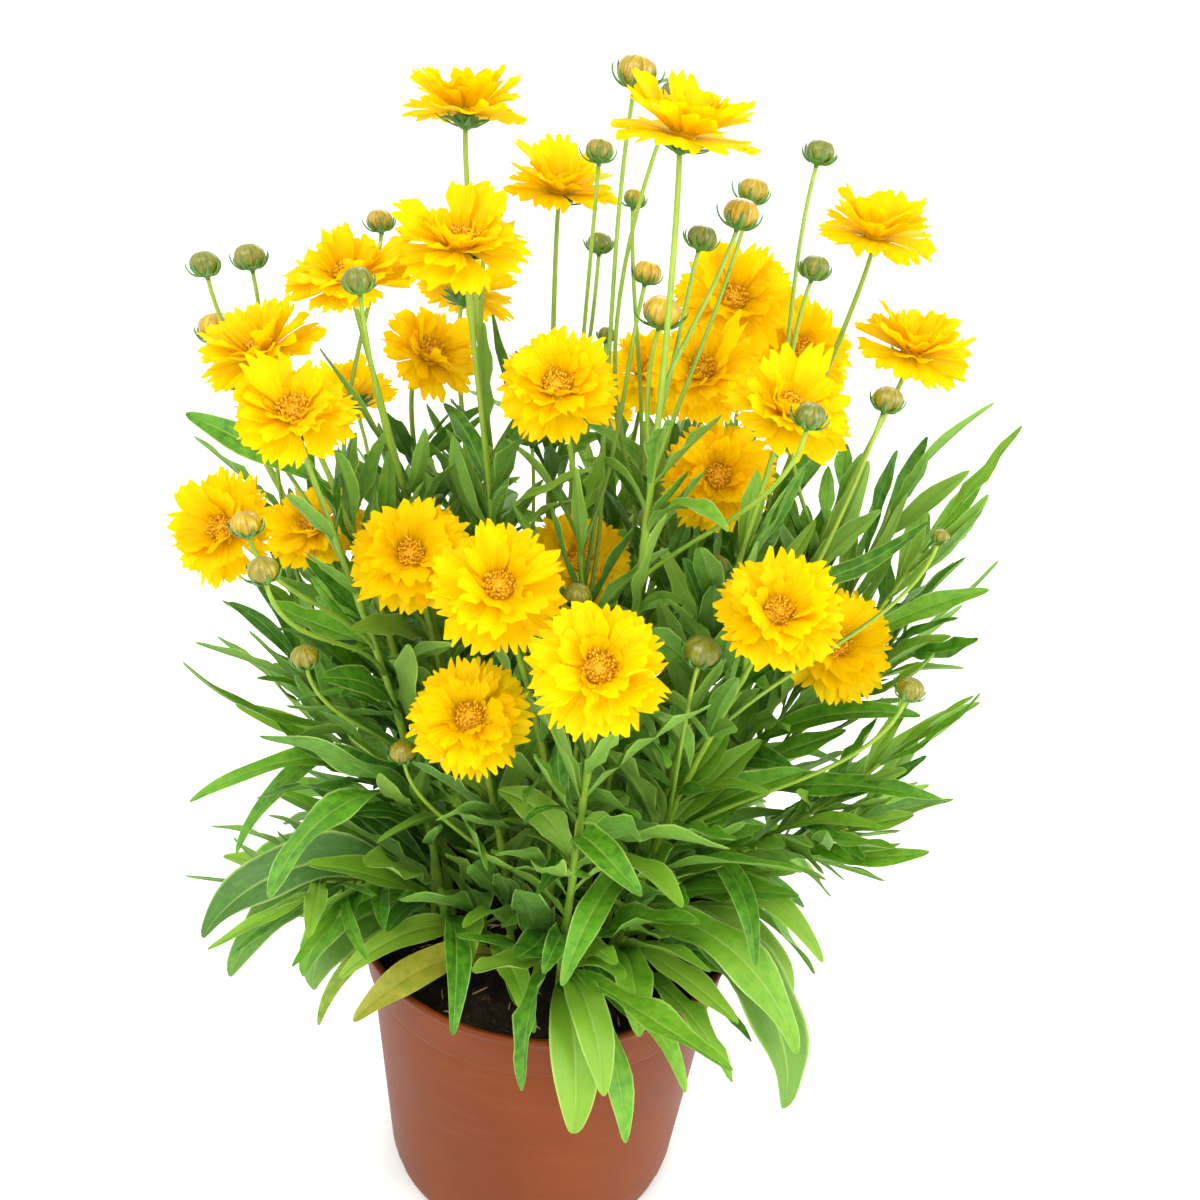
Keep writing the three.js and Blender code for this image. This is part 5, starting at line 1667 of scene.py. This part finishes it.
def stalk_material():
    p = Paint("stalk")
    along, around, _ = p.attribute("place")
    tint, _, _ = p.attribute("look")
    mottle = p.noise(120, 3, at=p.where())
    shade = p.plus(p.times(along, 0.45), p.spread(mottle, 0.2, 0.8, 0.0, 0.4))
    shade = p.plus(shade, p.times(tint, 0.2))
    greens = ((0.0, (96, 140, 46)), (0.5, (132, 168, 46)), (1.0, (160, 184, 54)))
    green = p.ramp(shade, greens)
    twist = p.vector(p.times(around, 26.0), p.times(along, 3.0), tint)
    lines = p.noise(1.0, 2, at=twist)
    green = p.blend(p.spread(lines, 0.45, 0.65, 0.0, 0.3), green, (92, 130, 40))
    return p.finish(green, 0.42, p.bump(lines, 0.0003, 0.5), 0.1, (170, 205, 50))


def bract_material():
    p = Paint("bract")
    along, across, _ = p.attribute("place")
    tint, _, _ = p.attribute("look")
    mottle = p.noise(420, 3, at=p.where())
    shade = p.plus(p.times(tint, 0.4), p.spread(mottle, 0.2, 0.8, 0.0, 0.5))
    green = p.ramp(shade, ((0.0, (54, 108, 34)), (0.5, (82, 134, 44)), (1.0, (122, 164, 60))))
    green = p.blend(p.spread(along, 0.45, 1.0, 0.0, 0.7), green, (66, 120, 62))
    side = p.calc("ABSOLUTE", across)
    green = p.blend(p.spread(side, 0.75, 1.0, 0.0, 0.35), green, (166, 194, 116))
    return p.finish(green, 0.5, p.bump(mottle, 0.0003, 0.4), 0.12, (130, 180, 60))


def bud_material():
    """Olive to golden, paler towards the top, with brown seams and fine streaks."""
    p = Paint("bud")
    along, around, _ = p.attribute("place")
    tint, ripe, _ = p.attribute("look")
    grain = p.vector(p.times(around, 44.0), p.times(along, 2.2), tint)
    streaks = p.noise(1.0, 4, at=grain)
    olives = ((0.3, (72, 86, 12)), (0.55, (106, 114, 20)), (0.8, (148, 146, 40)))
    golds = ((0.3, (138, 110, 10)), (0.55, (184, 150, 18)), (0.8, (228, 194, 50)))
    colour = p.blend(p.spread(ripe, 0.45, 1.0), p.ramp(streaks, olives), p.ramp(streaks, golds))
    colour = p.blend(p.spread(along, 0.15, 0.5, 0.7, 0.0), colour, (104, 132, 44))
    turn = p.plus(p.times(around, 8.0), p.times(tint, 3.0))
    blush = p.spread(p.calc("PINGPONG", turn, 0.5), 0.0, 0.14, 0.45, 0.0)
    colour = p.blend(blush, colour, (84, 74, 22))
    return p.finish(colour, 0.3, p.bump(streaks, 0.0003, 0.5))


def petal_material():
    """Clear yellow, warmer towards the heart, with fine streaks along the petal. The orange towards
    the heart is partly the petal's own colour and partly painted shade where the petals overlap
    there, and the orange along the streaks is partly painted shade in the pleats' grooves.
    """
    p = Paint("petal")
    along, across, under = p.attribute("place")
    tint, warm, _ = p.attribute("look")
    wander = p.noise(140, 3, at=p.where())
    lie = p.vector(p.times(across, 5.0), p.times(along, 1.2), p.times(tint, 40.0))
    streaks = p.noise(1.0, 3, at=lie)
    # Painted shade, in part: the orange towards the heart also stands for the shade where the
    # petals overlap, and the orange along the streaks also stands for the shade in the pleats'
    # grooves. The bloom's own warmth and the wandering tone are the petals' own colour.
    warmth_and_painted_shade = p.plus(p.spread(along, 0.0, 0.5, 0.45, 0.0), p.times(warm, 0.6))
    warmth_and_painted_shade = p.plus(warmth_and_painted_shade, p.spread(streaks, 0.45, 0.7, 0.0, 0.4))
    warmth_and_painted_shade = p.plus(warmth_and_painted_shade, p.spread(wander, 0.3, 0.8, -0.08, 0.1))
    yellow = p.ramp(warmth_and_painted_shade, ((0.0, (255, 230, 2)), (0.45, (255, 226, 1)), (1.0, (254, 206, 0))))
    yellow = p.blend(p.times(under, 0.3), yellow, (252, 222, 4))
    glow = p.blend(0.75, yellow, (255, 234, 2))
    relief = p.plus(streaks, p.times(wander, 0.5))
    return p.finish(yellow, 0.55, p.bump(relief, 0.0012, 0.8), 0.62, glow, specular=0.12)


def disc_material():
    p = Paint("disc")
    along, _, _ = p.attribute("place")
    grain = p.noise(700, 3, at=p.where())
    gold = p.ramp(grain, ((0.3, (248, 190, 6)), (0.6, (255, 208, 10)), (0.85, (255, 226, 30))))
    gold = p.blend(p.spread(along, 0.6, 1.0, 0.0, 0.15), gold, (238, 164, 14))
    return p.finish(gold, 0.55, p.bump(grain, 0.0003, 0.6), 0.25, (255, 220, 10))


def anther_material():
    p = Paint("anther")
    grain = p.noise(1500, 2, at=p.where())
    brown = p.ramp(grain, ((0.3, (178, 108, 8)), (0.7, (226, 160, 14))))
    return p.finish(brown, 0.6, p.bump(grain, 0.0002, 0.6))


def pot_material():
    """Moulded plastic in terracotta red: satin, with faint flow marks, scuffs and splashes."""
    p = Paint("pot")
    place = p.where()
    x, y, z = p.node("SeparateXYZ", {0: place}).outputs
    cloud = p.noise(16, 4, at=place, warp=0.4)
    speck = p.noise(420, 2, at=place)

    def level(across, up):
        """A lie for noise that is drawn out level round the wall."""
        return p.vector(p.times(x, across), p.times(y, across), p.times(z, up))

    colour = p.ramp(cloud, ((0.3, (101, 43, 9)), (0.5, (107, 48, 11)), (0.72, (114, 53, 13))))
    flow = p.noise(1.0, 3, at=level(30.0, 150.0))
    colour = p.blend(p.spread(flow, 0.5, 0.75, 0.0, 0.14), colour, (138, 78, 46))
    scuff = p.noise(1.0, 4, 0.65, at=level(60.0, 900.0), warp=0.6)
    scuffed = p.times(p.spread(scuff, 0.62, 0.74), p.spread(cloud, 0.42, 0.6))
    colour = p.blend(p.times(scuffed, 0.3), colour, (158, 106, 76))
    colour = p.blend(p.spread(speck, 0.7, 0.76, 0.0, 0.5), colour, (60, 30, 18))
    splash = p.noise(70, 5, 0.6, at=place)
    dirt = p.times(p.spread(splash, 0.58, 0.72), p.spread(z, 0.0, 0.06, 0.5, 0.12))
    colour = p.blend(dirt, colour, (72, 50, 36))
    rough = p.plus(p.spread(cloud, 0.3, 0.7, 0.42, 0.52), p.times(scuffed, 0.25))
    relief = p.plus(p.times(flow, 0.5), p.times(p.noise(300, 3, at=place), 0.5))
    return p.finish(colour, rough, p.bump(relief, 0.0004, 0.35), specular=0.14)


def soil_material():
    p = Paint("soil")
    tint, _, _ = p.attribute("look")
    place = p.where()
    clods = p.noise(180, 6, 0.65, at=place)
    dark = p.ramp(clods, ((0.3, (18, 14, 10)), (0.55, (38, 29, 21)), (0.8, (72, 55, 38))))
    dark = p.blend(p.spread(tint, 0.7, 1.0, 0.0, 0.6), dark, (92, 66, 42))
    fibre = p.noise(60, 4, 0.6, at=place, warp=3.0)
    dark = p.blend(p.spread(fibre, 0.66, 0.7, 0.0, 0.5), dark, (120, 94, 62))
    relief = p.plus(clods, p.times(p.noise(900, 4, 0.7, at=place), 0.5))
    return p.finish(dark, 0.95, p.bump(relief, 0.0016, 0.9), specular=0.2)


def chip_material():
    p = Paint("chip")
    tint, _, _ = p.attribute("look")
    grain = p.noise(500, 3, at=p.where(), warp=1.5)
    shade = p.plus(p.times(tint, 0.6), p.times(grain, 0.5))
    straw = p.ramp(shade, ((0.2, (110, 84, 56)), (0.6, (176, 144, 98)), (1.0, (214, 188, 142))))
    return p.finish(straw, 0.8, p.bump(grain, 0.0003, 0.6))


def stage_material():
    p = Paint("stage")
    paper = p.noise(6, 3, at=p.where())
    return p.finish(p.ramp(paper, ((0.3, (238, 238, 238)), (0.7, (243, 243, 243)))), 0.9)


# ---- Stage, lights and camera --------------------------------------------------------------------

STAGE_REACH = 3.0
STAGE_RISE = 1.6
STAGE_ROUND = 0.9
STAGE_GAP = 0.0005


def stage(material):
    """A pale floor that curves up into a wall all round."""
    floor_end = STAGE_REACH - STAGE_ROUND
    round_up = arc((floor_end, STAGE_ROUND), STAGE_ROUND, -90, 0, 16)
    profile = [(0.05, 0), (0.5, 0), *round_up, (STAGE_REACH, STAGE_RISE)]
    sides = 96
    turns = full_turn(np.arange(sides + 1), sides)
    rings = [[(r * math.cos(a), r * math.sin(a), z) for a in turns] for r, z in profile]
    number = np.arange(len(profile) * (sides + 1)).reshape(len(profile), sides + 1)
    mesh = bpy.data.meshes.new("stage")
    mesh.from_pydata(np.array(rings).reshape(-1, 3), [], grid(number).tolist())
    mesh.materials.append(material)
    mesh.shade_smooth()
    made = bpy.data.objects.new("stage", mesh)
    made.location.z = -STAGE_GAP
    bpy.context.scene.collection.objects.link(made)


def softbox(name, place, aim, wide, tall, power, colour):
    data = bpy.data.lights.new(name, "AREA")
    data.shape = "RECTANGLE"
    data.size, data.size_y = wide, tall
    data.energy = power
    data.color = colour
    lamp = bpy.data.objects.new(name, data)
    lamp.location = place
    lamp.rotation_euler = (Vector(aim) - Vector(place)).to_track_quat("-Z", "Y").to_euler()
    bpy.context.scene.collection.objects.link(lamp)


def lights():
    aim = (0, 0, 0.32)
    softbox("key", (-0.9, -1.3, 1.9), aim, 1.2, 1.2, 28, (1, 0.985, 0.95))
    softbox("fill", (1.6, -0.9, 1.0), aim, 1.2, 1.2, 25, (1, 0.99, 0.97))
    softbox("back", (0.3, 1.7, 1.6), aim, 1.4, 0.9, 20, (1, 1, 1))
    softbox("low", (0.3, -1.6, 0.35), (0, 0, 0.36), 1.4, 0.5, 5, (1, 0.99, 0.96))
    world = bpy.data.worlds.new("soft_sky")
    world.use_nodes = True
    sky = world.node_tree.nodes["Background"]
    sky.inputs["Color"].default_value = (1, 0.995, 0.98, 1)
    sky.inputs["Strength"].default_value = 1.25
    bpy.context.scene.world = world


CAMERA = SimpleNamespace(place=(0, -0.480, 0.527), pitch=23.2, yaw=1.5, roll=5.0, lens=34.5)


def camera():
    """A view from close to the plant and level with its upper blooms, looking down at it."""
    pitch, yaw, roll = (math.radians(a) for a in (CAMERA.pitch, CAMERA.yaw, CAMERA.roll))
    level = math.cos(pitch)
    ahead = Vector((math.sin(yaw) * level, math.cos(yaw) * level, -math.sin(pitch)))
    right = Vector((math.cos(yaw), -math.sin(yaw), 0))
    up = right.cross(ahead)
    tilted_right = math.cos(roll) * right + math.sin(roll) * up
    tilted_up = math.cos(roll) * up - math.sin(roll) * right
    data = bpy.data.cameras.new("camera")
    data.lens = CAMERA.lens
    data.clip_start = 0.02
    made = bpy.data.objects.new("camera", data)
    axes = Matrix((tilted_right, tilted_up, -ahead)).transposed().to_4x4()
    made.matrix_world = Matrix.Translation(CAMERA.place) @ axes
    bpy.context.scene.collection.objects.link(made)
    bpy.context.scene.camera = made
    bpy.context.scene.view_settings.view_transform = "Standard"


# ---- The whole -----------------------------------------------------------------------------------


def main():
    greens = [leaf_material(), stalk_material(), bract_material(), bud_material()]
    golds = [petal_material(), disc_material(), anther_material()]
    for i, stem in enumerate(grow_plant()):
        leafy_stem(i, stem, greens)
    for b in range(1, len(BLOOMS) + 1):
        bloom(b, golds)
    pot(pot_material())
    soil([soil_material(), chip_material()])
    stage(stage_material())
    lights()
    camera()


main()
